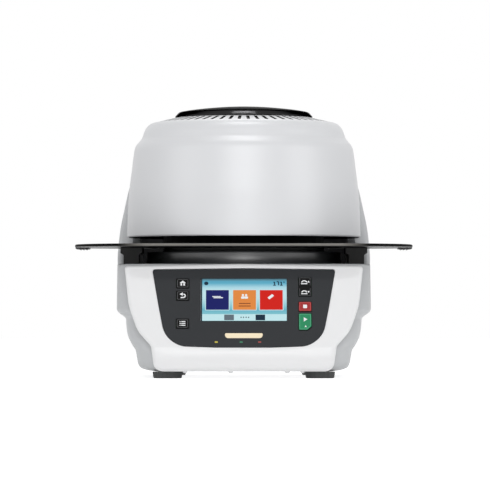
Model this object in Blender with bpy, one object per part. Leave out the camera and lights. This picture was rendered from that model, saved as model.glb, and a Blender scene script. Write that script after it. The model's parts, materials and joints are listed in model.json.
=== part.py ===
# Dental lab furnace: a base with a tilted touch panel, a round furnace head that
# tilts back on a rear hinge, and a wide cooling tray between the two.
# Metres, +Z up. The front faces -Y. The origin is on the table, under the middle.
import math

import bmesh
import bpy
from mathutils import Vector

# Overall sizes of the base
HOUSING_WIDTH = 0.3028
REAR_Y = 0.2150
BASE_BOTTOM_Z = 0.0080
DECK_Z = 0.1325
FRONT_CORNER = 0.0340
FRONT_NARROWING = 0.0035
WALL = 0.0030
GAP = 0.0003
CUT_OVERRUN = 0.0100
MERGE_DISTANCE = 0.000001
DEGENERATE_LENGTH = 0.0000001

# The tilted front
FRONT_TOP_Y = -0.1612
PANEL_TILT = math.radians(28.0)
CHIN_Z = 0.0374
CHIN_RETURN = 0.0030
BEZEL_DEPTH = 0.0160
BEZEL_WIDTH = 0.2766
BEZEL_ROUNDING = 0.0050
BEZEL_LIP = 0.0052
FASCIA_WIDTH = 0.2124
FASCIA_BOTTOM_Z = 0.0374
FASCIA_THICKNESS = 0.0022
FASCIA_DEPTH_BELOW_BEZEL = 0.0004
FIT_CLEARANCE = 0.0004

# The touch screen and the keys, in the plane of the panel
SCREEN_WIDTH = 0.0990
SCREEN_HEIGHT = 0.0555
SCREEN_CENTRE_UP = 0.0095
SCREEN_GLASS = 0.0018
KEY_WIDTH = 0.0152
KEY_HEIGHT = 0.0130
PAIR_KEY_HEIGHT = 0.0120
TALL_KEY_HEIGHT = 0.0222
KEY_THICKNESS = 0.0020
KEY_PROUD = 0.0006
KEY_TRAVEL = 0.0005
KEY_CORNER = 0.0010
LIGHT_BAR_WIDTH = 0.0440
LIGHT_BAR_HEIGHT = 0.0067
LIGHT_BAR_DROP = 0.0374

# The furnace head
HEAD_AXIS_Y = -0.0300
HEAD_RADIUS = 0.1384
HEAD_LIFT = 0.0324
HEAD_BOTTOM_Z = DECK_Z + HEAD_LIFT
HEAD_HEIGHT = 0.1557
HEAD_WALL = 0.0030
CAP_RADIUS = 0.0816
VENT_COUNT = 60
VENT_INNER_RADIUS = 0.0890
VENT_OUTER_RADIUS = 0.1010
VENT_RING_RADIUS = 0.1070
HEAD_PLATE_THICKNESS = 0.0030
HEAD_PLATE_LIFT = 0.0030
HEAD_PLATE_CLEARANCE = 0.0007
CHAMBER_RADIUS = 0.0430
MUFFLE_WALL = 0.0028
INSULATION_RADIUS = 0.0790
INSULATION_HEIGHT = 0.0900
LID_THICKNESS = 0.0180
COIL_TURNS = 6
COIL_WIRE = 0.0016
COIL_CLEARANCE = 0.0016

# The hinge
HINGE_Y = 0.1500
HINGE_LIFT = 0.0455
HINGE_Z = DECK_Z + HINGE_LIFT
PIN_RADIUS = 0.0050
PIN_LEFT_X = -0.0930
PIN_RIGHT_X = 0.1020
ARM_X = 0.0700
ARM_THICKNESS = 0.0080
ARM_END_RADIUS = 0.0120
BRACKET_X = 0.0830
BRACKET_THICKNESS = 0.0050
BUSH_WALL = 0.0018

# The seat between base and head
COLLAR_RADIUS = 0.1176
COLLAR_HEIGHT = 0.0148
SEAL_INNER_RADIUS = 0.0845
SEAL_OUTER_RADIUS = 0.0955
SEAL_THICKNESS = 0.0040
TABLE_RADIUS = 0.0370
TABLE_THICKNESS = 0.0075
PLUG_HEIGHT = 0.0170

# The cooling tray
TRAY_WIDTH = 0.3970
TRAY_THICKNESS = 0.0034
TRAY_LIFT = 0.0235
TRAY_TOP_Z = DECK_Z + TRAY_LIFT
TRAY_FRONT_Y = -0.1740
TRAY_ARM_REAR_Y = 0.0120
TRAY_SLOT_RADIUS = 0.1010

# The rear housing that stands behind the head
REAR_HOUSING_FRONT_Y = 0.0200
REAR_HOUSING_RISE = 0.1055
REAR_HOUSING_TOP_Z = DECK_Z + REAR_HOUSING_RISE
HEAD_RUNNING_CLEARANCE = 0.0060
WELL_HALF_WIDTH = 0.1250
WELL_REAR_Y = 0.1820
WELL_CORNER = 0.0040
REAR_CORNER = 0.0450

# Feet
FOOT_RADIUS = 0.0175
FOOT_X = 0.0880
FOOT_FRONT_Y = -0.1780
FOOT_REAR_Y = 0.1600

# Rear panel and its connectors
PANEL_WIDTH = 0.1580
PANEL_HEIGHT = 0.0800
PANEL_BOTTOM_Z = 0.0260
PANEL_THICKNESS = 0.0020
FLANGE = 0.0014

# Shares of the housing's half width at shares of its height, from the table up
HOUSING_SIDE_SHARES = (
    (0.000, 0.700),
    (0.030, 0.812),
    (0.052, 0.829),
    (0.115, 0.838),
    (0.191, 0.849),
    (0.229, 0.869),
    (0.268, 0.889),
    (0.307, 0.904),
    (0.363, 0.919),
    (0.490, 0.928),
    (0.520, 0.955),
    (0.546, 0.984),
    (0.580, 1.000),
    (0.985, 1.000),
    (1.000, 0.994),
)

# Steps of each round corner in plan
PLAN_CORNER_STEPS = 5

# Which levels of the side the plainer inner wall follows
HOUSING_INNER_LEVELS = (0, 1, 4, 8, 9, 12, 14)

# Openings of the base housing
PANEL_OPENING_WIDTH = 0.2000
PANEL_LAP = 0.0050

# The firing table's support
TABLE_SUPPORT_RADIUS = 0.0700

# Rear housing, from the deck up: shares of its height, of its half width,
# of the set-back of its front and of the draw-in of its back
REAR_PROFILE_SHARES = (
    (0.000, 1.000, 0.00, 0.00),
    (0.120, 1.000, 0.05, 0.01),
    (0.320, 0.988, 0.13, 0.04),
    (0.480, 0.972, 0.20, 0.09),
    (0.620, 0.952, 0.28, 0.16),
    (0.750, 0.933, 0.38, 0.27),
    (0.860, 0.917, 0.51, 0.42),
    (0.930, 0.902, 0.65, 0.59),
    (0.975, 0.882, 0.81, 0.78),
    (1.000, 0.852, 1.00, 1.00),
)
REAR_TOP_SETBACK = 0.0440
REAR_TOP_DRAW_IN = 0.0240

# The rounding of the rear housing's cheeks
REAR_CHEEK_NOSE = 0.0060

# The bezel's outline, as shares of its half width and height
CHIN_WIDTH_SHARE = 0.742
CHIN_TOP_WIDTH_SHARE = 0.772
KNEE_WIDTH_SHARE = 0.884
KNEE_HEIGHT_SHARE = 0.372
HIP_WIDTH_SHARE = 0.962
HIP_HEIGHT_SHARE = 0.610
BEZEL_EAR_DROP = 0.0024
CHIN_CORNER = 0.0110
WAIST_ROUNDING = 0.0080
KNEE_ROUNDING = 0.0400
HIP_ROUNDING = 0.0600
EAR_ROUNDING = 0.0040
CROWN_ROUNDING = 0.6000
BEZEL_ARC_STEPS = 3

# The fascia's outline, in the same way
FASCIA_FOOT_SHARE = 0.560
FASCIA_FOOT_RISE = 0.0010
FASCIA_HEEL_SHARE = 0.760
FASCIA_HEEL_RISE_SHARE = 0.075
FASCIA_CALF_SHARE = 0.868
FASCIA_CALF_RISE_SHARE = 0.215
FASCIA_HIP_SHARE = 0.922
FASCIA_HIP_RISE_SHARE = 0.480
FASCIA_EAR_DROP = 0.0012
FASCIA_FOOT_ROUNDING = 0.0300
FASCIA_HEEL_ROUNDING = 0.0120
FASCIA_CALF_ROUNDING = 0.0120
FASCIA_HIP_ROUNDING = 0.0600
FASCIA_EAR_ROUNDING = 0.0030

# The key columns: where they stand between the screen's edge and the fascia's
KEY_COLUMN_SHARE = 0.49436
FASCIA_HALF_AT_KEYS = FASCIA_WIDTH / 2 * FASCIA_CALF_SHARE
KEY_COLUMN_X = SCREEN_WIDTH / 2 + (FASCIA_HALF_AT_KEYS - SCREEN_WIDTH / 2) * KEY_COLUMN_SHARE

# Cross-section of the bezel
ROUNDING_STEPS = 3
FACE_SHARES = (0.34, 0.67, 1.0)
POCKET_EDGE = 0.0005
BEZEL_LEDGE = 0.0040

# Keys: name, side of the screen, height up the panel, key height
HOME_KEY_UP = 0.0309
BACK_KEY_UP = 0.0148
PROGRAM_KEY_UP = -0.0217
HEAD_UP_KEY_UP = 0.0329
HEAD_DOWN_KEY_UP = 0.0197
STOP_KEY_UP = 0.0005
START_KEY_UP = -0.0194
KEYS = (
    ("home_key", -1, HOME_KEY_UP, KEY_HEIGHT),
    ("back_key", -1, BACK_KEY_UP, KEY_HEIGHT),
    ("program_key", -1, PROGRAM_KEY_UP, KEY_HEIGHT),
    ("head_up_key", 1, HEAD_UP_KEY_UP, PAIR_KEY_HEIGHT),
    ("head_down_key", 1, HEAD_DOWN_KEY_UP, PAIR_KEY_HEIGHT),
    ("stop_key", 1, STOP_KEY_UP, KEY_HEIGHT),
    ("start_key", 1, START_KEY_UP, TALL_KEY_HEIGHT),
)

# Corner of the light bar
LIGHT_BAR_CORNER = 0.0024

# Boards behind the panel
BOARD_THICKNESS = 0.0016
BOARD_INSET = 0.0022
BOARD_WIDTH = FASCIA_WIDTH * FASCIA_HEEL_SHARE - BOARD_INSET * 2
BOARD_HEIGHT = 0.0780
BOARD_DROP = 0.0060
LCD_DEPTH = 0.0070
CONTROL_BOARD_WIDTH = 0.1500
CONTROL_BOARD_HEIGHT = 0.0640

# Steps of the collar, the firing table and its support
COLLAR_EDGE = 0.0020
COLLAR_ARC_SHARE = 0.3
PLUG_STEP = 0.0015
TABLE_SUPPORT_SINK = 0.0120
SUPPORT_SHELF_BORE = 0.0150

# The head's outline: shares of its radius and of its height over the rim
HEAD_PROFILE_SHARES = (
    (0.9935, 0.0000),
    (1.0000, 0.0180),
    (0.9970, 0.1610),
    (0.9870, 0.3220),
    (0.9760, 0.4180),
    (0.9510, 0.5920),
    (0.9425, 0.6460),
    (0.9365, 0.6750),
    (0.9225, 0.7030),
    (0.8995, 0.7280),
    (0.8775, 0.7520),
    (0.8655, 0.7780),
    (0.8540, 0.8100),
    (0.8350, 0.8400),
    (0.8090, 0.8630),
    (0.7760, 0.8790),
)

# Which points of the outer profile the plainer inner wall follows
HEAD_INNER_POINTS = (0, 3, 7, 10, 13, 15)
VENT_SEAT_RADIUS = 0.1035
NOTCH_CLEARANCE = 0.0020

# The slotted ring
VENT_SLOPE = 0.22
VENT_THICKNESS = 0.0020
VENT_SLOT_SHARE = 0.36
VENT_TURN_SHARE = 0.50
CAP_OVERLAP = 0.0160

# The cap's outline: shares of its radius and of its height
CAP_PROFILE_SHARES = (
    (0.000, 1.000),
    (0.180, 0.978),
    (0.380, 0.906),
    (0.600, 0.805),
    (0.770, 0.708),
    (0.885, 0.604),
    (0.956, 0.400),
    (0.995, 0.171),
    (1.000, 0.000),
)

# The step under the cap's edge
CAP_EDGE_LIFT = 0.0010

# Room for the coil, and the temperature sensor
COIL_SPACE = 0.0044
SENSOR_RADIUS = 0.0026
SENSOR_TIP_SHARE = 0.6
SENSOR_REACH = 0.0260
SENSOR_FLANGE = 0.0080

# Points of the coil
COIL_POINTS_PER_TURN = 16
MILLIMETRE = 0.001

# The hinge arms
ARM_FRONT_Y = 0.0560
ARM_HEEL_SHARE = 0.90
ARM_TAPER = 0.0060

# The hinge brackets
BRACKET_EYE = 0.0130
BRACKET_SPREAD = 0.0190
BRACKET_FOOT = 0.0040

# Bush and pin
BUSH_FLANGE = 0.0010
PIN_CHAMFER = 0.0006

# Lift gearbox and motor
GEARBOX_WIDTH = 0.0180
GEARBOX_DEPTH = 0.0400
GEARBOX_HEIGHT = 0.0620
GEARBOX_EDGE = 0.0015
MOTOR_RADIUS = 0.0130
MOTOR_LENGTH = 0.0560
MOTOR_BOSS_SHARE = 0.5

# Corners and grips of the tray
TRAY_END_RADIUS = 0.0500
TRAY_FRONT_CORNER = 0.0900
TRAY_EDGE = 0.0010
GRIP_WIDTH = 0.0120
GRIP_LENGTH = 0.0500
GRIP_DROP = 0.0024
GRIP_INSET = 0.0040

# The blocks that carry the tray
BRACKET_CLEARANCE = 0.0014
BRACKET_INNER_X = COLLAR_RADIUS + BRACKET_CLEARANCE
BRACKET_HEAD_WIDTH = 0.0256
BRACKET_STEP = 0.0036
BRACKET_HEAD = 0.0066
TRAY_BRACKET_FRONT_Y = -0.1060
TRAY_BRACKET_LENGTH = 0.0900

# Connectors in the rear panel
INLET_WIDTH = 0.0290
INLET_HEIGHT = 0.0210
INLET_DEPTH = 0.0240
INLET_Z = 0.0500
INLET_CAVITY_WIDTH = 0.0240
INLET_CAVITY_HEIGHT = 0.0155
FUSE_RADIUS = 0.0065
FUSE_SPACING = 0.0180
FUSE_Z = 0.0790
SWITCH_WIDTH = 0.0240
SWITCH_HEIGHT = 0.0300
SWITCH_Z = 0.0500
ROCKER_WIDTH = 0.0180
ROCKER_HEIGHT = 0.0240
ROCKER_ANGLE = math.radians(8.0)
PORT_Z = 0.0500
PORT_RADIUS = 0.0060
PORT_BORE = 0.0030
DATA_Z = 0.0820
NETWORK_SPACING = 0.0260
NETWORK_WIDTH = 0.0160
NETWORK_HEIGHT = 0.0135
USB_WIDTH = 0.0134
USB_HEIGHT = 0.0072

# Places along the rear panel: inlet, switch, pump socket and hose port stand in a
# row, and each share of the free width lies to the left of the next one
ROW_GAP_SHARES = (0.0785, 0.1134, 0.1715, 0.4448)
SOCKET_SPAN = INLET_WIDTH + FLANGE * 4
SWITCH_SPAN = SWITCH_WIDTH + FLANGE * 4
PORT_SPAN = (PORT_RADIUS + FLANGE) * 2
ROW_WIDTH = PANEL_WIDTH - PANEL_LAP * 2
ROW_FREE_WIDTH = ROW_WIDTH - SOCKET_SPAN * 2 - SWITCH_SPAN - PORT_SPAN
INLET_LEFT = -ROW_WIDTH / 2 + ROW_FREE_WIDTH * ROW_GAP_SHARES[0]
INLET_X = INLET_LEFT + SOCKET_SPAN / 2
SWITCH_LEFT = INLET_LEFT + SOCKET_SPAN + ROW_FREE_WIDTH * ROW_GAP_SHARES[1]
SWITCH_X = SWITCH_LEFT + SWITCH_SPAN / 2
PUMP_LEFT = SWITCH_LEFT + SWITCH_SPAN + ROW_FREE_WIDTH * ROW_GAP_SHARES[2]
PUMP_SOCKET_X = PUMP_LEFT + SOCKET_SPAN / 2
PORT_LEFT = PUMP_LEFT + SOCKET_SPAN + ROW_FREE_WIDTH * ROW_GAP_SHARES[3]
PORT_X = PORT_LEFT + PORT_SPAN / 2
FUSE_X = INLET_X - FUSE_SPACING / 2
USB_X = PUMP_SOCKET_X
NETWORK_X = USB_X + NETWORK_SPACING

# Contacts of the mains inlet
PIN_SPACING = 0.0070
PIN_BLADE = 0.0020
PIN_HEIGHT = 0.0040
PIN_REACH = 0.0150

# Fuse holders
FUSE_BODY = 0.0260
FUSE_CAP = 0.0026

# Mains switch
SWITCH_DEPTH = 0.0180
ROCKER_DEPTH = 0.0080
ROCKER_BACK_SHARE = 0.60
ROCKER_CREST_SHARE = 0.90
ROCKER_END_SHARE = 0.96

# Vacuum port and valve
PORT_BODY = 0.0140
VALVE_WIDTH = 0.0260
VALVE_LENGTH = 0.0480
VALVE_HEIGHT = 0.0500

# Power supply
SUPPLY_WIDTH = 0.0900
SUPPLY_LENGTH = 0.1300
SUPPLY_HEIGHT = 0.0380
SUPPLY_X = 0.0600
SUPPLY_Y = 0.0300

# Flare of the feet
FOOT_FLARE = 0.0020


def clear_scene():
    for item in list(bpy.data.objects):
        bpy.data.objects.remove(item, do_unlink=True)


def material(name, colour, roughness, metallic=0.0):
    made = bpy.data.materials.get(name)
    if made:
        return made
    made = bpy.data.materials.new(name)
    made.use_nodes = True
    shader = made.node_tree.nodes["Principled BSDF"]
    shader.inputs["Base Color"].default_value = (*colour, 1.0)
    shader.inputs["Roughness"].default_value = roughness
    shader.inputs["Metallic"].default_value = metallic
    return made


def silver_paint():
    return material("silver_paint", (0.62, 0.63, 0.64), 0.35)


def light_grey_plastic():
    return material("light_grey_plastic", (0.55, 0.56, 0.57), 0.42)


def white_gloss():
    return material("white_gloss", (0.90, 0.90, 0.90), 0.16)


def dark_panel():
    return material("dark_panel", (0.045, 0.047, 0.050), 0.30)


def black_plastic():
    return material("black_plastic", (0.012, 0.012, 0.013), 0.35)


def black_rubber():
    return material("black_rubber", (0.020, 0.020, 0.020), 0.80)


def screen_glass_material():
    return material("screen_glass_finish", (0.02, 0.06, 0.10), 0.06)


def steel():
    return material("steel", (0.55, 0.55, 0.56), 0.30, 1.0)


def brass():
    return material("brass", (0.75, 0.56, 0.25), 0.30, 1.0)


def fibre():
    return material("insulating_fibre", (0.86, 0.84, 0.78), 0.95)


def quartz():
    return material("quartz", (0.80, 0.79, 0.74), 0.25)


def green_board():
    return material("green_board", (0.02, 0.16, 0.06), 0.45)


def tray_enamel():
    return material("tray_enamel", (0.018, 0.018, 0.018), 0.38)


def amber_light():
    return material("amber_light", (0.95, 0.82, 0.52), 0.35)


def object_from(bm, name, finish, smooth_angle=30.0):
    """Close the bmesh into a named object with one finish and smooth round faces."""
    bmesh.ops.recalc_face_normals(bm, faces=bm.faces[:])
    mesh = bpy.data.meshes.new(name)
    bm.to_mesh(mesh)
    bm.free()
    mesh.materials.append(finish)
    mesh.shade_smooth()
    mesh.set_sharp_from_angle(angle=math.radians(smooth_angle))
    made = bpy.data.objects.new(name, mesh)
    bpy.context.scene.collection.objects.link(made)
    return made


def soften(target, width, segments=2):
    """Round the sharp edges of a piece."""
    edge = target.modifiers.new("edge_rounding", "BEVEL")
    edge.width = width
    edge.segments = segments
    edge.limit_method = "ANGLE"
    edge.angle_limit = math.radians(40.0)
    edge.use_clamp_overlap = True
    return target


def cut(target, cutter):
    """Take a cutter's shape out of a piece."""
    hole = target.modifiers.new("cut_" + cutter.name, "BOOLEAN")
    hole.operation = "DIFFERENCE"
    hole.solver = "EXACT"
    hole.object = cutter
    cutter.hide_render = True
    cutter.display_type = "WIRE"
    if cutter.parent is None:
        cutter.parent = target.parent
    return target


def join_shape(target, other):
    """Add another shape to a piece, so that both are one solid."""
    union = target.modifiers.new("join_" + other.name, "BOOLEAN")
    union.operation = "UNION"
    union.solver = "EXACT"
    union.object = other
    other.hide_render = True
    other.display_type = "WIRE"
    other.parent = target.parent
    return target


def block(name, size, centre, finish):
    """A box of the given size about its centre."""
    bm = bmesh.new()
    bmesh.ops.create_cube(bm, size=1.0)
    bmesh.ops.scale(bm, vec=Vector(size), verts=bm.verts[:])
    made = object_from(bm, name, finish)
    made.location = Vector(centre)
    return made


def rod(name, radius, length, centre, axis, finish, sides=28):
    """A round bar along X, Y or Z."""
    bm = bmesh.new()
    bmesh.ops.create_cone(
        bm, cap_ends=True, segments=sides, radius1=radius, radius2=radius, depth=length
    )
    made = object_from(bm, name, finish)
    made.location = Vector(centre)
    if axis == "X":
        made.rotation_euler = (0.0, math.pi / 2, 0.0)
    if axis == "Y":
        made.rotation_euler = (math.pi / 2, 0.0, 0.0)
    return made


def turned(name, profile, centre, finish, steps=48):
    """Spin a closed (radius, height) profile round the vertical axis through centre."""
    bm = bmesh.new()
    ring = [bm.verts.new((radius, 0.0, height)) for radius, height in profile]
    edges = []
    for i, (radius, _) in enumerate(profile):
        j = (i + 1) % len(profile)
        if radius > 0.0 or profile[j][0] > 0.0:
            edges.append(bm.edges.new((ring[i], ring[j])))
    bmesh.ops.spin(
        bm,
        geom=ring + edges,
        cent=(0.0, 0.0, 0.0),
        axis=(0.0, 0.0, 1.0),
        dvec=(0.0, 0.0, 0.0),
        angle=math.tau,
        steps=steps,
        use_merge=True,
    )
    bmesh.ops.remove_doubles(bm, verts=bm.verts[:], dist=MERGE_DISTANCE)
    bmesh.ops.dissolve_degenerate(bm, edges=bm.edges[:], dist=DEGENERATE_LENGTH)
    made = object_from(bm, name, finish)
    made.location = Vector(centre)
    return made


def plate(name, outline, low_z, high_z, finish):
    """Extrude a closed (x, y) outline upwards."""
    bm = bmesh.new()
    face = bm.faces.new([bm.verts.new((x, y, low_z)) for x, y in outline])
    grown = bmesh.ops.extrude_face_region(bm, geom=[face])
    moved = [item for item in grown["geom"] if isinstance(item, bmesh.types.BMVert)]
    bmesh.ops.translate(bm, vec=(0.0, 0.0, high_z - low_z), verts=moved)
    return object_from(bm, name, finish)


def side_plate(name, outline, low_x, high_x, finish):
    """Extrude a closed (y, z) outline along X."""
    bm = bmesh.new()
    face = bm.faces.new([bm.verts.new((low_x, y, z)) for y, z in outline])
    grown = bmesh.ops.extrude_face_region(bm, geom=[face])
    moved = [item for item in grown["geom"] if isinstance(item, bmesh.types.BMVert)]
    bmesh.ops.translate(bm, vec=(high_x - low_x, 0.0, 0.0), verts=moved)
    return object_from(bm, name, finish)


def lofted(name, loops, finish, closed):
    """Bridge loops of equal length, in order; closed joins the last loop to the first."""
    bm = bmesh.new()
    rows = [[bm.verts.new(point) for point in loop] for loop in loops]
    count = len(rows[0])
    pairs = list(zip(rows[:-1], rows[1:]))
    if closed:
        pairs.append((rows[-1], rows[0]))
    for first, second in pairs:
        for i in range(count):
            j = (i + 1) % count
            bm.faces.new((first[i], first[j], second[j], second[i]))
    if not closed:
        bm.faces.new(rows[0])
        bm.faces.new(rows[-1])
    return object_from(bm, name, finish)


def arc(centre_x, centre_y, radius, start, end, steps):
    """Points along a circular arc, both ends kept; angles in degrees."""
    points = []
    for i in range(steps + 1):
        angle = math.radians(start + (end - start) * i / steps)
        points.append((centre_x + radius * math.cos(angle), centre_y + radius * math.sin(angle)))
    return points


def rounded_plan(half_width, front_y, rear_y, front_corner, rear_corner, narrowing=0.0):
    """A plan with round corners, drawn in a little in front, counter-clockwise."""
    steps = PLAN_CORNER_STEPS
    right = half_width - narrowing - front_corner
    left = -right
    rear_left, rear_right = -half_width + rear_corner, half_width - rear_corner
    points = arc(right, front_y + front_corner, front_corner, -90, 0, steps)
    points += arc(rear_right, rear_y - rear_corner, rear_corner, 0, 90, steps)
    points += arc(rear_left, rear_y - rear_corner, rear_corner, 90, 180, steps)
    points += arc(left, front_y + front_corner, front_corner, 180, 270, steps)
    return points


def rounded_polygon(corners, radii, steps=4):
    """Round each corner of a closed polygon with an arc tangent to its two sides."""
    points = []
    count = len(corners)
    for i in range(count):
        here = Vector(corners[i])
        to_last = (Vector(corners[i - 1]) - here).normalized()
        to_next = (Vector(corners[(i + 1) % count]) - here).normalized()
        half = to_last.angle(to_next) / 2
        reach = radii[i] / math.tan(half)
        centre = here + (to_last + to_next).normalized() * (radii[i] / math.sin(half))
        start = here + to_last * reach - centre
        end = here + to_next * reach - centre
        sweep = start.angle_signed(end)
        for step in range(steps + 1):
            turn = -sweep * step / steps
            cos_turn, sin_turn = math.cos(turn), math.sin(turn)
            x = start.x * cos_turn - start.y * sin_turn
            y = start.x * sin_turn + start.y * cos_turn
            points.append((centre.x + x, centre.y + y))
    return points


def inset(points, distance):
    """Move a counter-clockwise outline inwards by a distance, along its normals."""
    moved = []
    count = len(points)
    for i in range(count):
        before, after = Vector(points[i - 1]), Vector(points[(i + 1) % count])
        along = (after - before).normalized()
        inward = Vector((-along.y, along.x))
        spot = Vector(points[i]) + inward * distance
        moved.append((spot.x, spot.y))
    return moved


def front_y(z):
    """The front of the base at a height: a tilted plane, rolled under below the chin."""
    slope = math.tan(PANEL_TILT)
    if z >= CHIN_Z:
        return FRONT_TOP_Y - (DECK_Z - z) * slope
    chin_y = FRONT_TOP_Y - (DECK_Z - CHIN_Z) * slope
    drop = CHIN_Z - BASE_BOTTOM_Z
    share = (CHIN_Z - z) / drop
    lead = slope * drop
    return chin_y - lead * share + (lead + CHIN_RETURN) * share * share


def housing_loops(margin, levels):
    """Plan outlines of the base housing at some of its levels, drawn in by a margin."""
    loops = []
    height = DECK_Z - BASE_BOTTOM_Z
    for level in levels:
        height_share, width_share = HOUSING_SIDE_SHARES[level]
        z = BASE_BOTTOM_Z + height * height_share
        half = HOUSING_WIDTH / 2 * width_share - margin
        front = front_y(z) + BEZEL_DEPTH + GAP + margin
        front_corner, rear_corner = FRONT_CORNER - margin, REAR_CORNER - margin
        rear = REAR_Y - margin
        plan = rounded_plan(half, front, rear, front_corner, rear_corner, FRONT_NARROWING)
        loops.append([(x, y, z) for x, y in plan])
    return loops


def base_housing():
    """The grey shell of the base: open below, above and behind the control panel."""
    outer = housing_loops(0.0, range(len(HOUSING_SIDE_SHARES)))
    inner = housing_loops(WALL, HOUSING_INNER_LEVELS)
    made = lofted("base_housing", outer + inner[::-1], light_grey_plastic(), True)
    window_low = CHIN_Z + WALL
    window_high = DECK_Z - WALL * 2
    window_size = (PANEL_OPENING_WIDTH, BEZEL_DEPTH * 6, window_high - window_low)
    window_y = front_y((window_low + window_high) / 2) + BEZEL_DEPTH
    window = block(
        "panel_opening_cutter",
        window_size,
        (0.0, window_y, (window_low + window_high) / 2),
        steel(),
    )
    cut(made, window)
    rear_hole = block(
        "rear_opening_cutter",
        (PANEL_WIDTH - PANEL_LAP * 2, WALL * 6, PANEL_HEIGHT - PANEL_LAP * 2),
        (0.0, REAR_Y, PANEL_BOTTOM_Z + PANEL_HEIGHT / 2),
        steel(),
    )
    return cut(made, rear_hole)


def base_pan():
    """The flat pan that closes the base below and carries the feet and the boards."""
    half = HOUSING_WIDTH / 2 * HOUSING_SIDE_SHARES[0][1] - WALL - GAP
    front = front_y(BASE_BOTTOM_Z) + BEZEL_DEPTH + GAP * 2 + WALL
    front_corner = FRONT_CORNER - WALL - GAP
    rear_corner = REAR_CORNER - WALL - GAP
    rear = REAR_Y - WALL - GAP
    outline = rounded_plan(half, front, rear, front_corner, rear_corner, FRONT_NARROWING)
    return plate("base_pan", outline, BASE_BOTTOM_Z, BASE_BOTTOM_Z + WALL, steel())


def deck_plate():
    """The plate that closes the base above, with a round hole for the firing table."""
    share = HOUSING_SIDE_SHARES[-1][1]
    half = HOUSING_WIDTH / 2 * share - WALL - GAP
    front = front_y(DECK_Z) + BEZEL_DEPTH + GAP * 2 + WALL
    front_corner = FRONT_CORNER - WALL - GAP
    rear_corner = REAR_CORNER - WALL - GAP
    rear = REAR_Y - WALL - GAP
    outline = rounded_plan(half, front, rear, front_corner, rear_corner, FRONT_NARROWING)
    made = plate("deck_plate", outline, DECK_Z - WALL, DECK_Z, light_grey_plastic())
    hole = rod(
        "deck_hole_cutter",
        TABLE_SUPPORT_RADIUS + GAP,
        WALL * 4,
        (0.0, HEAD_AXIS_Y, DECK_Z),
        "Z",
        steel(),
        48,
    )
    return cut(made, hole)


def rear_housing():
    """The housing behind the head: two cheeks and a back, open where the head swings."""
    loops = []
    low = DECK_Z + GAP
    height = REAR_HOUSING_TOP_Z - low
    for height_share, width_share, front_share, rear_share in REAR_PROFILE_SHARES:
        z = low + height * height_share
        half = HOUSING_WIDTH / 2 * width_share
        front = REAR_HOUSING_FRONT_Y + REAR_TOP_SETBACK * front_share
        rear = REAR_Y - REAR_TOP_DRAW_IN * rear_share
        plan = rounded_plan(half, front, rear, REAR_CHEEK_NOSE, REAR_CORNER)
        loops.append([(x, y, z) for x, y in plan])
    made = lofted("rear_housing", loops, light_grey_plastic(), False)
    tall = REAR_HOUSING_TOP_Z - DECK_Z + CUT_OVERRUN * 2
    middle_z = (REAR_HOUSING_TOP_Z + DECK_Z) / 2
    sweep = rod(
        "head_sweep_cutter",
        HEAD_RADIUS + HEAD_RUNNING_CLEARANCE,
        tall,
        (0.0, HEAD_AXIS_Y, middle_z),
        "Z",
        steel(),
        64,
    )
    cut(made, sweep)
    corner = WELL_CORNER
    outline = rounded_plan(WELL_HALF_WIDTH, HEAD_AXIS_Y, WELL_REAR_Y, corner, corner)
    low_z, high_z = DECK_Z - CUT_OVERRUN, REAR_HOUSING_TOP_Z + CUT_OVERRUN
    return cut(made, plate("hinge_well_cutter", outline, low_z, high_z, steel()))


def front_outline():
    """The bezel's outline seen from the front, counter-clockwise in (x, z)."""
    half = BEZEL_WIDTH / 2
    low = BASE_BOTTOM_Z
    tall = DECK_Z - BASE_BOTTOM_Z
    waist_z = CHIN_Z
    corners = [
        (half * CHIN_WIDTH_SHARE, low),
        (half * CHIN_TOP_WIDTH_SHARE, waist_z),
        (half * KNEE_WIDTH_SHARE, low + tall * KNEE_HEIGHT_SHARE),
        (half * HIP_WIDTH_SHARE, low + tall * HIP_HEIGHT_SHARE),
        (half, DECK_Z - BEZEL_EAR_DROP),
        (0.0, DECK_Z),
    ]
    mirrored = [(-x, z) for x, z in corners[-2::-1]]
    radii = [CHIN_CORNER, WAIST_ROUNDING, KNEE_ROUNDING, HIP_ROUNDING, EAR_ROUNDING, CROWN_ROUNDING]
    return rounded_polygon(corners + mirrored, radii + radii[-2::-1], BEZEL_ARC_STEPS)


def fascia_outline():
    """The dark panel's outline seen from the front, with the bezel's point order."""
    half = FASCIA_WIDTH / 2
    top = DECK_Z - BEZEL_LIP
    low = FASCIA_BOTTOM_Z
    tall = top - low
    corners = [
        (half * FASCIA_FOOT_SHARE, low + FASCIA_FOOT_RISE),
        (half * FASCIA_HEEL_SHARE, low + tall * FASCIA_HEEL_RISE_SHARE),
        (half * FASCIA_CALF_SHARE, low + tall * FASCIA_CALF_RISE_SHARE),
        (half * FASCIA_HIP_SHARE, low + tall * FASCIA_HIP_RISE_SHARE),
        (half, top - FASCIA_EAR_DROP),
        (0.0, top),
    ]
    mirrored = [(-x, z) for x, z in corners[-2::-1]]
    radii = [
        FASCIA_FOOT_ROUNDING,
        FASCIA_HEEL_ROUNDING,
        FASCIA_CALF_ROUNDING,
        FASCIA_HIP_ROUNDING,
        FASCIA_EAR_ROUNDING,
        CROWN_ROUNDING,
    ]
    return rounded_polygon(corners + mirrored, radii + radii[-2::-1], BEZEL_ARC_STEPS)


def blend_outlines(first, second, share):
    return [
        (a[0] + (b[0] - a[0]) * share, a[1] + (b[1] - a[1]) * share)
        for a, b in zip(first, second)
    ]


def at_depth(outline, depth):
    """Stand a front outline on the front surface, a depth behind it."""
    return [(x, front_y(z) + depth, z) for x, z in outline]


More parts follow.
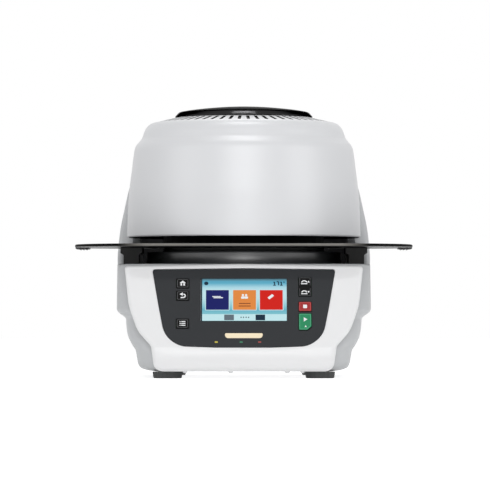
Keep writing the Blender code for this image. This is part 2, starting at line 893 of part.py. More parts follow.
def front_bezel():
    """The white moulded frame: rounded outside, dished pocket, open at the back."""
    outer = front_outline()
    pocket = fascia_outline()
    ledge = inset(pocket, BEZEL_LEDGE)
    crest = inset(outer, BEZEL_ROUNDING)
    pocket_floor = (FASCIA_DEPTH_BELOW_BEZEL + FASCIA_THICKNESS) / math.cos(PANEL_TILT) + GAP
    loops = [at_depth(outer, BEZEL_DEPTH)]
    for step in range(ROUNDING_STEPS + 1):
        turn = math.pi / 2 * step / ROUNDING_STEPS
        drawn = BEZEL_ROUNDING * (1.0 - math.cos(turn))
        sunk = BEZEL_ROUNDING * (1.0 - math.sin(turn))
        loops.append(at_depth(inset(outer, drawn), sunk))
    for share in FACE_SHARES:
        loops.append(at_depth(blend_outlines(crest, inset(pocket, -POCKET_EDGE), share), 0.0))
    loops.append(at_depth(pocket, POCKET_EDGE))
    loops.append(at_depth(pocket, pocket_floor))
    loops.append(at_depth(ledge, pocket_floor))
    loops.append(at_depth(ledge, pocket_floor + WALL))
    loops.append(at_depth(inset(outer, WALL), pocket_floor + WALL))
    loops.append(at_depth(inset(outer, WALL), BEZEL_DEPTH))
    return lofted("front_bezel", loops, white_gloss(), True)


def panel_frame():
    """An empty in the panel's plane: X along it, Z up it, -Y out of it."""
    frame = bpy.data.objects.new("panel_frame", None)
    bpy.context.scene.collection.objects.link(frame)
    middle_z = (DECK_Z - BEZEL_LIP + FASCIA_BOTTOM_Z) / 2
    frame.location = (0.0, front_y(middle_z), middle_z)
    frame.rotation_euler = (-PANEL_TILT, 0.0, 0.0)
    return frame


def panel_prism(name, outline, front, back, finish, frame):
    """A slab in the panel's plane between two depths behind its surface."""
    bm = bmesh.new()
    face = bm.faces.new([bm.verts.new((x, front, z)) for x, z in outline])
    grown = bmesh.ops.extrude_face_region(bm, geom=[face])
    moved = [item for item in grown["geom"] if isinstance(item, bmesh.types.BMVert)]
    bmesh.ops.translate(bm, vec=(0.0, back - front, 0.0), verts=moved)
    made = object_from(bm, name, finish)
    made.parent = frame
    return made


def rectangle(centre_x, centre_up, width, height, corner, steps=3):
    half_width, half_height = width / 2, height / 2
    corners = [
        (centre_x + half_width, centre_up - half_height),
        (centre_x + half_width, centre_up + half_height),
        (centre_x - half_width, centre_up + half_height),
        (centre_x - half_width, centre_up - half_height),
    ]
    return rounded_polygon(corners, [corner] * 4, steps)


def fascia_and_keys(frame):
    """The dark panel with its screen window and key holes, and what shows in them."""
    front = FASCIA_DEPTH_BELOW_BEZEL
    back = front + FASCIA_THICKNESS
    outline = inset(fascia_outline(), FIT_CLEARANCE)
    along_y = math.cos(PANEL_TILT)
    faces = [at_depth(outline, front / along_y), at_depth(outline, back / along_y)]
    fascia = lofted("control_fascia", faces, dark_panel(), False)
    glass = rectangle(0.0, SCREEN_CENTRE_UP, SCREEN_WIDTH, SCREEN_HEIGHT, KEY_CORNER)
    panel_prism(
        "touch_screen", glass, front, front + SCREEN_GLASS, screen_glass_material(), frame
    )
    window = rectangle(
        0.0,
        SCREEN_CENTRE_UP,
        SCREEN_WIDTH + FIT_CLEARANCE * 2,
        SCREEN_HEIGHT + FIT_CLEARANCE * 2,
        KEY_CORNER + FIT_CLEARANCE,
    )
    through = CUT_OVERRUN
    cut(fascia, panel_prism("window_cutter", window, -through, through, steel(), frame))
    bar = rectangle(0.0, -LIGHT_BAR_DROP, LIGHT_BAR_WIDTH, LIGHT_BAR_HEIGHT, LIGHT_BAR_CORNER)
    panel_prism("status_light_bar", bar, front - KEY_PROUD, back, amber_light(), frame)
    slot = rectangle(
        0.0,
        -LIGHT_BAR_DROP,
        LIGHT_BAR_WIDTH + FIT_CLEARANCE * 2,
        LIGHT_BAR_HEIGHT + FIT_CLEARANCE * 2,
        LIGHT_BAR_CORNER + FIT_CLEARANCE,
    )
    cut(fascia, panel_prism("light_slot_cutter", slot, -through, through, steel(), frame))
    for name, side, up, height in KEYS:
        x = side * KEY_COLUMN_X
        face = rectangle(x, up, KEY_WIDTH, height, KEY_CORNER)
        key_front = front - KEY_PROUD
        panel_prism(name, face, key_front, key_front + KEY_THICKNESS, black_plastic(), frame)
        hole = rectangle(
            x,
            up,
            KEY_WIDTH + FIT_CLEARANCE * 2,
            height + FIT_CLEARANCE * 2,
            KEY_CORNER + FIT_CLEARANCE,
        )
        cut(fascia, panel_prism(name + "_cutter", hole, -through, through, steel(), frame))
    return fascia


def boards_behind_panel(frame):
    """Keypad board, screen module and control board, stacked behind the fascia."""
    keypad_front = FASCIA_DEPTH_BELOW_BEZEL + FASCIA_THICKNESS + GAP + KEY_TRAVEL
    keypad_back = keypad_front + BOARD_THICKNESS
    outline = rectangle(0.0, SCREEN_CENTRE_UP - BOARD_DROP, BOARD_WIDTH, BOARD_HEIGHT, KEY_CORNER)
    keypad = panel_prism(
        "keypad_board", outline, keypad_front, keypad_back, green_board(), frame
    )
    module_front = FASCIA_DEPTH_BELOW_BEZEL + FASCIA_THICKNESS + GAP
    width, height = SCREEN_WIDTH + FLANGE * 4, SCREEN_HEIGHT + FLANGE * 4
    module = rectangle(0.0, SCREEN_CENTRE_UP, width, height, KEY_CORNER)
    around = FIT_CLEARANCE * 2
    window = rectangle(0.0, SCREEN_CENTRE_UP, width + around, height + around, KEY_CORNER)
    cut(
        keypad,
        panel_prism("module_window_cutter", window, 0.0, CUT_OVERRUN, steel(), frame),
    )
    panel_prism(
        "lcd_module", module, module_front, module_front + LCD_DEPTH, steel(), frame
    )
    board_front = module_front + LCD_DEPTH + GAP
    board = rectangle(0.0, SCREEN_CENTRE_UP, CONTROL_BOARD_WIDTH, CONTROL_BOARD_HEIGHT, KEY_CORNER)
    panel_prism(
        "control_board", board, board_front, board_front + BOARD_THICKNESS, green_board(), frame
    )


def seat_pieces():
    """Collar, seal, insulation and firing table, all turned about the head's axis."""
    axis = (0.0, HEAD_AXIS_Y, 0.0)
    low = DECK_Z + GAP
    top = low + COLLAR_HEIGHT
    bore = TABLE_SUPPORT_RADIUS + GAP * 2
    round_over = COLLAR_EDGE
    collar = [
        (COLLAR_RADIUS - WALL, low),
        (COLLAR_RADIUS, low),
        (COLLAR_RADIUS, top - round_over),
        (COLLAR_RADIUS - round_over * COLLAR_ARC_SHARE, top - round_over * COLLAR_ARC_SHARE),
        (COLLAR_RADIUS - round_over, top),
        (bore, top),
        (bore, top - WALL),
        (COLLAR_RADIUS - WALL, top - WALL),
    ]
    turned("deck_collar", collar, axis, black_plastic(), 44)
    seal_low = top + GAP
    seal_high = seal_low + SEAL_THICKNESS
    seal = [
        (SEAL_INNER_RADIUS, seal_low),
        (SEAL_OUTER_RADIUS, seal_low),
        (SEAL_OUTER_RADIUS, seal_high),
        (SEAL_INNER_RADIUS, seal_high),
    ]
    turned("base_seal_ring", seal, axis, black_rubber(), 36)
    plug = TABLE_RADIUS + PLUG_STEP
    foot = low - TABLE_SUPPORT_SINK
    support = [
        (0.0, foot),
        (TABLE_SUPPORT_RADIUS, foot),
        (TABLE_SUPPORT_RADIUS, top),
        (plug, top),
        (plug, top + PLUG_HEIGHT),
        (0.0, top + PLUG_HEIGHT),
    ]
    turned("table_insulation", support, axis, fibre(), 32)
    table_low = top + PLUG_HEIGHT + GAP
    rim = TABLE_THICKNESS / 5
    table = [
        (0.0, table_low),
        (TABLE_RADIUS, table_low),
        (TABLE_RADIUS, table_low + TABLE_THICKNESS),
        (TABLE_RADIUS - rim, table_low + TABLE_THICKNESS),
        (TABLE_RADIUS - rim * 2, table_low + TABLE_THICKNESS - rim),
        (0.0, table_low + TABLE_THICKNESS - rim),
    ]
    turned("firing_table", table, axis, quartz(), 32)
    shelf = [
        (SUPPORT_SHELF_BORE, foot - GAP - WALL),
        (TABLE_SUPPORT_RADIUS + WALL * 2, foot - GAP - WALL),
        (TABLE_SUPPORT_RADIUS + WALL * 2, DECK_Z - WALL - GAP),
        (TABLE_SUPPORT_RADIUS + WALL, DECK_Z - WALL - GAP),
        (TABLE_SUPPORT_RADIUS + WALL, foot - GAP),
        (SUPPORT_SHELF_BORE, foot - GAP),
    ]
    turned("table_support_cup", shelf, axis, steel(), 28)


def head_outline():
    """Outer profile of the head shell, rim to vent ring, as (radius, height)."""
    return [
        (HEAD_RADIUS * r, HEAD_BOTTOM_Z + HEAD_HEIGHT * h) for r, h in HEAD_PROFILE_SHARES
    ]


def head_shell():
    """The silver shell of the head, with notches where the hinge arms pass out."""
    outer = head_outline()
    inner = []
    for i in HEAD_INNER_POINTS:
        radius, height = outer[i]
        before, after = outer[max(i - 1, 0)], outer[min(i + 1, len(outer) - 1)]
        run, rise = after[0] - before[0], after[1] - before[1]
        length = math.hypot(run, rise)
        inner.append((radius - HEAD_WALL * rise / length, height + HEAD_WALL * run / length))
    inner[0] = (outer[0][0] - HEAD_WALL, outer[0][1])
    top_radius, top_z = outer[-1]
    ledge_z = top_z - VENT_THICKNESS - GAP
    inner_top = inner[-1][1]
    seat = [
        (VENT_RING_RADIUS + FIT_CLEARANCE, top_z),
        (VENT_RING_RADIUS + FIT_CLEARANCE, ledge_z),
        (VENT_SEAT_RADIUS, ledge_z),
        (VENT_SEAT_RADIUS, inner_top - HEAD_WALL / 2),
    ]
    profile = outer[:-1] + [(top_radius, top_z)] + seat + inner[::-1][1:]
    made = turned("head_shell", profile, (0.0, HEAD_AXIS_Y, 0.0), silver_paint(), 48)
    for side, name in ((-1, "left"), (1, "right")):
        notch_top = HINGE_Z + ARM_END_RADIUS + NOTCH_CLEARANCE
        notch_low = HEAD_BOTTOM_Z - CUT_OVERRUN
        notch = block(
            "arm_notch_cutter_" + name,
            (
                ARM_THICKNESS + NOTCH_CLEARANCE * 2,
                HEAD_RADIUS / 2,
                notch_top - notch_low,
            ),
            (side * ARM_X, HEAD_AXIS_Y + HEAD_RADIUS, (notch_top + notch_low) / 2),
            steel(),
        )
        cut(made, notch)
    return made


def vent_ring():
    """The slotted ring under the cap: slots run through it, one bar between each two."""
    top_z = HEAD_BOTTOM_Z + HEAD_HEIGHT * HEAD_PROFILE_SHARES[-1][1]
    slope = VENT_SLOPE
    bm = bmesh.new()
    radii = (CAP_RADIUS - CAP_OVERLAP, VENT_INNER_RADIUS, VENT_OUTER_RADIUS, VENT_RING_RADIUS)
    steps = VENT_COUNT * 2
    rows = {}
    for level in (0, 1):
        for k, radius in enumerate(radii):
            z = top_z + (VENT_RING_RADIUS - radius) * slope - level * VENT_THICKNESS
            row = []
            for i in range(steps):
                share = VENT_SLOT_SHARE if i % 2 else 0.0
                turn = i // 2 + share + VENT_TURN_SHARE
                angle = math.tau * turn / VENT_COUNT - math.pi / 2
                angle -= math.tau * VENT_SLOT_SHARE / 2 / VENT_COUNT
                row.append(bm.verts.new((radius * math.cos(angle), radius * math.sin(angle), z)))
            rows[level, k] = row
    for i in range(steps):
        j = (i + 1) % steps
        slotted = i % 2 == 0
        for k in range(3):
            if slotted and k == 1:
                continue
            for level in (0, 1):
                near, far = rows[level, k], rows[level, k + 1]
                bm.faces.new((near[i], near[j], far[j], far[i]))
        for k in (0, 3):
            upper, lower = rows[0, k], rows[1, k]
            bm.faces.new((upper[i], upper[j], lower[j], lower[i]))
        if slotted:
            for k in (1, 2):
                upper, lower = rows[0, k], rows[1, k]
                bm.faces.new((upper[i], upper[j], lower[j], lower[i]))
            for m in (i, j):
                bm.faces.new((rows[0, 1][m], rows[0, 2][m], rows[1, 2][m], rows[1, 1][m]))
    made = object_from(bm, "vent_ring", silver_paint())
    made.location = (0.0, HEAD_AXIS_Y, 0.0)
    return made


def head_cap():
    """The black domed cap that covers the middle of the head."""
    top_z = HEAD_BOTTOM_Z + HEAD_HEIGHT
    seat_z = HEAD_BOTTOM_Z + HEAD_HEIGHT * HEAD_PROFILE_SHARES[-1][1]
    ring_top = seat_z + (VENT_RING_RADIUS - CAP_RADIUS) * VENT_SLOPE + GAP
    low = ring_top + CAP_EDGE_LIFT
    outer = [(CAP_RADIUS * r, low + (top_z - low) * h) for r, h in CAP_PROFILE_SHARES]
    shoulder = CAP_RADIUS - CAP_OVERLAP
    shoulder_z = seat_z + (VENT_RING_RADIUS - shoulder) * VENT_SLOPE + GAP
    under = [
        (CAP_RADIUS - CAP_EDGE_LIFT, ring_top + CAP_EDGE_LIFT * VENT_SLOPE),
        (shoulder + GAP, shoulder_z),
        (shoulder - GAP, shoulder_z),
        (shoulder - GAP, shoulder_z - VENT_THICKNESS),
        (shoulder - CAP_EDGE_LIFT * 2, shoulder_z - VENT_THICKNESS),
        (shoulder - CAP_EDGE_LIFT * 3, shoulder_z + CAP_EDGE_LIFT),
        (0.0, shoulder_z + CAP_EDGE_LIFT * 2),
    ]
    return turned("head_cap", outer + under, (0.0, HEAD_AXIS_Y, 0.0), black_plastic(), 40)


def hot_parts():
    """What the shell covers: plate, sealing ring, insulation, muffle, coil and sensor."""
    axis = (0.0, HEAD_AXIS_Y, 0.0)
    plate_low = HEAD_BOTTOM_Z + HEAD_PLATE_LIFT
    plate_top = plate_low + HEAD_PLATE_THICKNESS
    plate_radius = HEAD_RADIUS * HEAD_PROFILE_SHARES[0][0] - HEAD_WALL - HEAD_PLATE_CLEARANCE
    bore = CHAMBER_RADIUS + MUFFLE_WALL + GAP
    ring = [
        (bore, plate_low),
        (plate_radius, plate_low),
        (plate_radius, plate_top),
        (bore, plate_top),
    ]
    turned("head_base_plate", ring, axis, steel(), 48)
    seal_low = DECK_Z + GAP * 3 + COLLAR_HEIGHT + SEAL_THICKNESS
    sealing = [
        (SEAL_INNER_RADIUS, seal_low),
        (SEAL_OUTER_RADIUS, seal_low),
        (SEAL_OUTER_RADIUS, plate_low - GAP),
        (SEAL_INNER_RADIUS, plate_low - GAP),
    ]
    turned("head_sealing_ring", sealing, axis, steel(), 40)
    block_low = plate_top + GAP
    block_high = block_low + INSULATION_HEIGHT
    lid_high = block_high + LID_THICKNESS
    wool_bore = bore + COIL_SPACE
    sensor_bore = SENSOR_RADIUS + GAP
    wool = [
        (wool_bore, block_low),
        (INSULATION_RADIUS, block_low),
        (INSULATION_RADIUS, lid_high),
        (sensor_bore, lid_high),
        (sensor_bore, block_high),
        (wool_bore, block_high),
    ]
    turned("head_insulation", wool, axis, fibre(), 32)
    tube_low = plate_low
    tube = [
        (CHAMBER_RADIUS, tube_low),
        (CHAMBER_RADIUS + MUFFLE_WALL, tube_low),
        (CHAMBER_RADIUS + MUFFLE_WALL, block_high - GAP),
        (CHAMBER_RADIUS, block_high - GAP),
    ]
    turned("muffle", tube, axis, quartz(), 32)
    heating_coil(block_low + COIL_WIRE, block_high - COIL_WIRE)
    sensor_low = block_high - SENSOR_REACH
    sensor = [
        (0.0, sensor_low),
        (SENSOR_RADIUS * SENSOR_TIP_SHARE, sensor_low + SENSOR_RADIUS * (1.0 - SENSOR_TIP_SHARE)),
        (SENSOR_RADIUS, sensor_low + SENSOR_RADIUS),
        (SENSOR_RADIUS, lid_high + GAP),
        (SENSOR_FLANGE, lid_high + GAP),
        (SENSOR_FLANGE, lid_high + SENSOR_FLANGE / 2),
        (SENSOR_RADIUS, lid_high + SENSOR_FLANGE / 2),
        (0.0, lid_high + SENSOR_FLANGE),
    ]
    turned("thermocouple", sensor, axis, quartz(), 12)


def heating_coil(low, high):
    """The heating wire, wound round the muffle as one open helix."""
    radius = CHAMBER_RADIUS + MUFFLE_WALL + COIL_CLEARANCE + COIL_WIRE / 2
    curve = bpy.data.curves.new("heating_coil", "CURVE")
    curve.dimensions = "3D"
    curve.bevel_depth = COIL_WIRE / 2
    curve.bevel_resolution = 1
    curve.use_fill_caps = True
    path = curve.splines.new("POLY")
    count = COIL_TURNS * COIL_POINTS_PER_TURN
    path.points.add(count)
    rise = high - low
    for i in range(count + 1):
        angle = math.tau * i / COIL_POINTS_PER_TURN
        x, y = radius * math.cos(angle), radius * math.sin(angle)
        path.points[i].co = (x, y, low + rise * i / count, 1.0)
    curve.materials.append(steel())
    made = bpy.data.objects.new("heating_coil", curve)
    bpy.context.scene.collection.objects.link(made)
    made.location = (0.0, HEAD_AXIS_Y, 0.0)
    pitch = rise / COIL_TURNS
    print("least gap between the coil's turns, mm:", round((pitch - COIL_WIRE) / MILLIMETRE, 2))
    return made


def hinge_arm(side, name):
    """A flat arm from the head's plate to the pin, with a round eye."""
    plate_top = HEAD_BOTTOM_Z + HEAD_PLATE_LIFT + HEAD_PLATE_THICKNESS + GAP
    front = ARM_FRONT_Y
    eye = arc(HINGE_Y, HINGE_Z, ARM_END_RADIUS, -60, 90, 8)
    outline = [
        (front, plate_top),
        (HEAD_AXIS_Y + HEAD_RADIUS * ARM_HEEL_SHARE, plate_top),
        (HINGE_Y - ARM_END_RADIUS, HINGE_Z - ARM_END_RADIUS),
    ]
    outline += eye
    outline.append((front, HINGE_Z + ARM_END_RADIUS - ARM_TAPER))
    x = side * ARM_X
    half = ARM_THICKNESS / 2
    made = side_plate("hinge_arm_" + name, outline, x - half, x + half, steel())
    bore = rod(
        "arm_bore_cutter_" + name,
        PIN_RADIUS + GAP,
        ARM_THICKNESS * 3,
        (x, HINGE_Y, HINGE_Z),
        "X",
        steel(),
        18,
    )
    return cut(made, bore)


def hinge_bracket(side, name):
    """An upright on the deck that carries one bush, with a foot flange."""
    x = side * BRACKET_X
    half = BRACKET_THICKNESS / 2
    low = DECK_Z + GAP
    top_arc = arc(HINGE_Y, HINGE_Z, BRACKET_EYE, 0, 180, 10)
    foot = BRACKET_FOOT
    upright_low = low + GAP
    outline = [(HINGE_Y - BRACKET_SPREAD, upright_low), (HINGE_Y + BRACKET_SPREAD, upright_low)]
    outline += top_arc
    made = side_plate("hinge_bracket_" + name, outline, x - half, x + half, steel())
    foot_width = half + foot - GAP
    flange = block(
        "bracket_foot_shape_" + name,
        (foot_width, (BRACKET_SPREAD + GAP) * 2, WALL),
        (x + side * foot_width / 2, HINGE_Y, low + WALL / 2),
        steel(),
    )
    join_shape(made, flange)
    bore = rod(
        "bracket_bore_cutter_" + name,
        PIN_RADIUS + GAP * 2 + BUSH_WALL,
        BRACKET_THICKNESS * 4,
        (x, HINGE_Y, HINGE_Z),
        "X",
        steel(),
        18,
    )
    return cut(made, bore)


def turned_along_x(name, profile, centre, finish, steps=14):
    """Spin a closed (radius, x) profile round the X axis through centre."""
    made = turned(name, profile, (0.0, 0.0, 0.0), finish, steps)
    made.rotation_euler = (0.0, math.pi / 2, 0.0)
    made.location = Vector(centre)
    return made


def hinge_bush(side, name):
    """A flanged plain bush in each bracket's eye."""
    half = BRACKET_THICKNESS / 2
    inner = PIN_RADIUS + GAP
    outer = inner + BUSH_WALL
    flange = outer + BUSH_WALL
    profile = [
        (inner, -half),
        (outer, -half),
        (outer, half + GAP),
        (flange, half + GAP),
        (flange, half + GAP + BUSH_FLANGE),
        (inner, half + GAP + BUSH_FLANGE),
    ]
    if side > 0:
        profile = [(radius, -x) for radius, x in profile]
    return turned_along_x(
        "hinge_bush_" + name, profile, (side * BRACKET_X, HINGE_Y, HINGE_Z), brass()
    )


def hinge_parts():
    for side, name in ((-1, "left"), (1, "right")):
        hinge_arm(side, name)
        hinge_bracket(side, name)
        hinge_bush(side, name)
    middle_x = (PIN_LEFT_X + PIN_RIGHT_X) / 2
    length = PIN_RIGHT_X - PIN_LEFT_X
    pin = rod("hinge_pin", PIN_RADIUS, length, (middle_x, HINGE_Y, HINGE_Z), "X", steel(), 18)
    soften(pin, PIN_CHAMFER, 1)
    lift_drive()


def lift_drive():
    """The gearbox on the pin's right end, and its motor below the pin."""
    low_x = BRACKET_X + BRACKET_THICKNESS / 2 + BRACKET_FOOT + GAP * 2
    box_z = DECK_Z + GAP + GEARBOX_HEIGHT / 2
    gearbox = block(
        "lift_gearbox",
        (GEARBOX_WIDTH, GEARBOX_DEPTH, GEARBOX_HEIGHT),
        (low_x + GEARBOX_WIDTH / 2, HINGE_Y, box_z),
        dark_panel(),
    )
    bore = rod(
        "gearbox_bore_cutter",
        PIN_RADIUS + GAP,
        GEARBOX_WIDTH * 3,
        (low_x + GEARBOX_WIDTH / 2, HINGE_Y, HINGE_Z),
        "X",
        steel(),
        18,
    )
    soften(gearbox, GEARBOX_EDGE, 2)
    cut(gearbox, bore)
    motor_high = BRACKET_X - BRACKET_THICKNESS / 2 - GAP
    motor_z = DECK_Z + GAP + MOTOR_RADIUS
    turned_along_x(
        "lift_motor",
        [
            (0.0, -MOTOR_LENGTH / 2),
            (MOTOR_RADIUS * MOTOR_BOSS_SHARE, -MOTOR_LENGTH / 2),
            (MOTOR_RADIUS * MOTOR_BOSS_SHARE, -MOTOR_LENGTH / 2 + WALL),
            (MOTOR_RADIUS, -MOTOR_LENGTH / 2 + WALL),
            (MOTOR_RADIUS, MOTOR_LENGTH / 2),
            (0.0, MOTOR_LENGTH / 2),
        ],
        (motor_high - MOTOR_LENGTH / 2, HINGE_Y, motor_z),
        steel(),
        28,
    )


def cooling_tray():
    """The wide black tray: a plate with round ends, slotted from behind for the seat."""
    half = TRAY_WIDTH / 2
    low = TRAY_TOP_Z - TRAY_THICKNESS
    rear = TRAY_ARM_REAR_Y
    slot = TRAY_SLOT_RADIUS
    right = arc(half - TRAY_END_RADIUS, rear - TRAY_END_RADIUS, TRAY_END_RADIUS, 0, 90, 6)
    front_right = arc(
        half - TRAY_FRONT_CORNER, TRAY_FRONT_Y + TRAY_FRONT_CORNER, TRAY_FRONT_CORNER, -90, 0, 8
    )
    slot_arc = arc(0.0, HEAD_AXIS_Y, slot, 0, -180, 24)
    left = [(-x, y) for x, y in right[::-1]]
    front_left = [(-x, y) for x, y in front_right[::-1]]
    inner_right = [(slot, rear)]
    inner_left = [(-slot, rear)]
    outline = front_right + right + inner_right + slot_arc + inner_left + left + front_left
    made = plate("cooling_tray", outline, low, TRAY_TOP_Z, tray_enamel())
    for side, name in ((-1, "left"), (1, "right")):
        grip = block(
            "tray_grip_shape_" + name,
            (GRIP_WIDTH, GRIP_LENGTH, GRIP_DROP + TRAY_THICKNESS / 2),
            (
                side * (half - GRIP_WIDTH / 2 - GRIP_INSET),
                HEAD_AXIS_Y - GRIP_LENGTH / 2,
                low + TRAY_THICKNESS / 4 - GRIP_DROP / 2,
            ),
            tray_enamel(),
        )
        join_shape(made, grip)
    return soften(made, TRAY_EDGE, 1)


def tray_bracket(side, name):
    """A stepped block on the deck that the tray lies on."""
    top = TRAY_TOP_Z - TRAY_THICKNESS - GAP
    middle = top - BRACKET_HEAD
    low = DECK_Z + GAP
    inner = BRACKET_INNER_X
    outline = [
        (inner + BRACKET_STEP, low),
        (inner + BRACKET_HEAD_WIDTH - BRACKET_STEP, low),
        (inner + BRACKET_HEAD_WIDTH - BRACKET_STEP, middle - BRACKET_HEAD / 3),
        (inner + BRACKET_HEAD_WIDTH, middle),
        (inner + BRACKET_HEAD_WIDTH, top),
        (inner, top),
        (inner, middle),
        (inner + BRACKET_STEP, middle - BRACKET_HEAD / 3),
    ]
    bm = bmesh.new()
    start = TRAY_BRACKET_FRONT_Y
    face = bm.faces.new([bm.verts.new((side * x, start, z)) for x, z in outline])
    grown = bmesh.ops.extrude_face_region(bm, geom=[face])
    moved = [item for item in grown["geom"] if isinstance(item, bmesh.types.BMVert)]
    bmesh.ops.translate(bm, vec=(0.0, TRAY_BRACKET_LENGTH, 0.0), verts=moved)
    made = object_from(bm, "tray_bracket_" + name, black_plastic())
    return soften(made, TRAY_EDGE / 2, 1)


def rear_plate_hole(target, name, width, height, x, z):
    """A rectangular hole through the rear panel, a fit clearance larger than its piece."""
    size = (width + FIT_CLEARANCE * 2, PANEL_THICKNESS * 8, height + FIT_CLEARANCE * 2)
    hole = block(name + "_hole_cutter", size, (x, panel_face_y(), z), steel())
    return cut(target, hole)


def panel_face_y():
    """The rear panel's outer face, just inside the housing's rear wall."""
    return REAR_Y - WALL - GAP


def socket(name, width, height, depth, x, z, finish, cavity_width, cavity_height):
    """A connector body through the rear panel, with a flange and an open cavity."""
    face = panel_face_y()
    body = block(name, (width, depth, height), (x, face - depth / 2 + GAP + FLANGE, z), finish)
    flange = block(
        name + "_flange_shape",
        (width + FLANGE * 4, FLANGE, height + FLANGE * 4),
        (x, face + GAP + FLANGE / 2, z),
        finish,
    )
    join_shape(body, flange)
    cavity = block(
        name + "_cavity_cutter",
        (cavity_width, depth, cavity_height),
        (x, face + GAP + FLANGE - depth / 2 + FLANGE * 3, z),
        finish,
    )
    return cut(body, cavity)


def rear_connectors():
    """The rear panel and everything that is fastened in it."""
    face = panel_face_y()
    panel = block(
        "rear_panel",
        (PANEL_WIDTH, PANEL_THICKNESS, PANEL_HEIGHT),
        (0.0, face - PANEL_THICKNESS / 2, PANEL_BOTTOM_Z + PANEL_HEIGHT / 2),
        steel(),
    )
    black = black_plastic()
    rear_plate_hole(panel, "inlet", INLET_WIDTH, INLET_HEIGHT, INLET_X, INLET_Z)
    mains_inlet(black)
    rear_plate_hole(panel, "pump", INLET_WIDTH, INLET_HEIGHT, PUMP_SOCKET_X, INLET_Z)
    socket(
        "pump_socket",
        INLET_WIDTH,
        INLET_HEIGHT,
        INLET_DEPTH,
        PUMP_SOCKET_X,
        INLET_Z,
        black,
        INLET_CAVITY_WIDTH,
        INLET_CAVITY_HEIGHT,
    )
    rear_plate_hole(panel, "network", NETWORK_WIDTH, NETWORK_HEIGHT, NETWORK_X, DATA_Z)
    socket(
        "network_socket",
        NETWORK_WIDTH,
        NETWORK_HEIGHT,
        NETWORK_WIDTH,
        NETWORK_X,
        DATA_Z,
        steel(),
        NETWORK_WIDTH - FLANGE * 3,
        NETWORK_HEIGHT - FLANGE * 3,
    )
    rear_plate_hole(panel, "usb", USB_WIDTH, USB_HEIGHT, USB_X, DATA_Z)
    socket(
        "usb_socket",
        USB_WIDTH,
        USB_HEIGHT,
        USB_WIDTH,
        USB_X,
        DATA_Z,
        steel(),
        USB_WIDTH - FLANGE,
        USB_HEIGHT - FLANGE,
    )
    for index, name in ((0, "left"), (1, "right")):
        x = FUSE_X + FUSE_SPACING * index
        fuse_holder(name, x, black)
        hole = rod(
            "fuse_hole_cutter_" + name,
            FUSE_RADIUS + FIT_CLEARANCE,
            PANEL_THICKNESS * 8,
            (x, face, FUSE_Z),
            "Y",
            steel(),
            24,
        )
        cut(panel, hole)
    rear_plate_hole(panel, "switch", SWITCH_WIDTH, SWITCH_HEIGHT, SWITCH_X, SWITCH_Z)
    mains_switch(black)
    port_hole = rod(
        "port_hole_cutter",
        PORT_RADIUS + FIT_CLEARANCE,
        PANEL_THICKNESS * 8,
        (PORT_X, face, PORT_Z),
        "Y",
        steel(),
        18,
    )
    cut(panel, port_hole)
    vacuum_port()
    return panel


def mains_inlet(finish):
    """The mains inlet: a cavity with three flat contacts standing in it."""
    inlet = socket(
        "mains_inlet",
        INLET_WIDTH,
        INLET_HEIGHT,
        INLET_DEPTH,
        INLET_X,
        INLET_Z,
        finish,
        INLET_CAVITY_WIDTH,
        INLET_CAVITY_HEIGHT,
    )
    face = panel_face_y()
    floor_y = face + GAP + FLANGE - INLET_DEPTH + FLANGE * 3
    for index, lift in ((-1, -1), (0, 1), (1, -1)):
        contact = block(
            "contact_shape_" + str(index + 2),
            (PIN_BLADE, PIN_REACH + FLANGE, PIN_HEIGHT),
            (
                INLET_X + index * PIN_SPACING,
                floor_y + (PIN_REACH - FLANGE) / 2,
                INLET_Z + lift * PIN_BLADE,
            ),
            finish,
        )
        join_shape(inlet, contact)
    return inlet


def fuse_holder(name, x, finish):
    """A round fuse holder with a wider screw cap outside the panel."""
    face = panel_face_y()
    holder = turned(
        "fuse_holder_" + name,
        [
            (0.0, -FUSE_BODY),
            (FUSE_RADIUS, -FUSE_BODY),
            (FUSE_RADIUS, GAP),
            (FUSE_RADIUS + FLANGE, GAP),
            (FUSE_RADIUS + FLANGE, FUSE_CAP - FLANGE / 2),
            (FUSE_RADIUS + FLANGE / 2, FUSE_CAP),
            (0.0, FUSE_CAP),
        ],
        (0.0, 0.0, 0.0),
        finish,
        16,
    )
    holder.rotation_euler = (-math.pi / 2, 0.0, 0.0)
    holder.location = (x, face, FUSE_Z)
    return holder


def mains_switch(finish):
    """The switch frame in the panel, and the rocker that tips in it."""
    frame_cavity_height = ROCKER_HEIGHT + FIT_CLEARANCE * 4
    socket(
        "switch_frame",
        SWITCH_WIDTH,
        SWITCH_HEIGHT,
        SWITCH_DEPTH,
        SWITCH_X,
        SWITCH_Z,
        finish,
        ROCKER_WIDTH + FIT_CLEARANCE * 2,
        frame_cavity_height,
    )
    face = panel_face_y()
    half = ROCKER_HEIGHT / 2
    valley = ROCKER_DEPTH - half * math.tan(ROCKER_ANGLE)
    outline = [
        (-ROCKER_DEPTH / 2, -half * ROCKER_BACK_SHARE),
        (valley / 2, -half),
        (valley / 2 + half * math.tan(ROCKER_ANGLE) * ROCKER_CREST_SHARE, -half * ROCKER_END_SHARE),
        (valley / 2 + FLANGE / 4, 0.0),
        (valley / 2 + half * math.tan(ROCKER_ANGLE) * ROCKER_CREST_SHARE, half * ROCKER_END_SHARE),
        (valley / 2, half),
        (-ROCKER_DEPTH / 2, half * ROCKER_BACK_SHARE),
    ]
    rocker = side_plate("mains_rocker", outline, -ROCKER_WIDTH / 2, ROCKER_WIDTH / 2, finish)
    rocker.location = (SWITCH_X, face - ROCKER_DEPTH / 2 + GAP, SWITCH_Z)
    rocker.rotation_euler = (ROCKER_ANGLE, 0.0, 0.0)
    return rocker


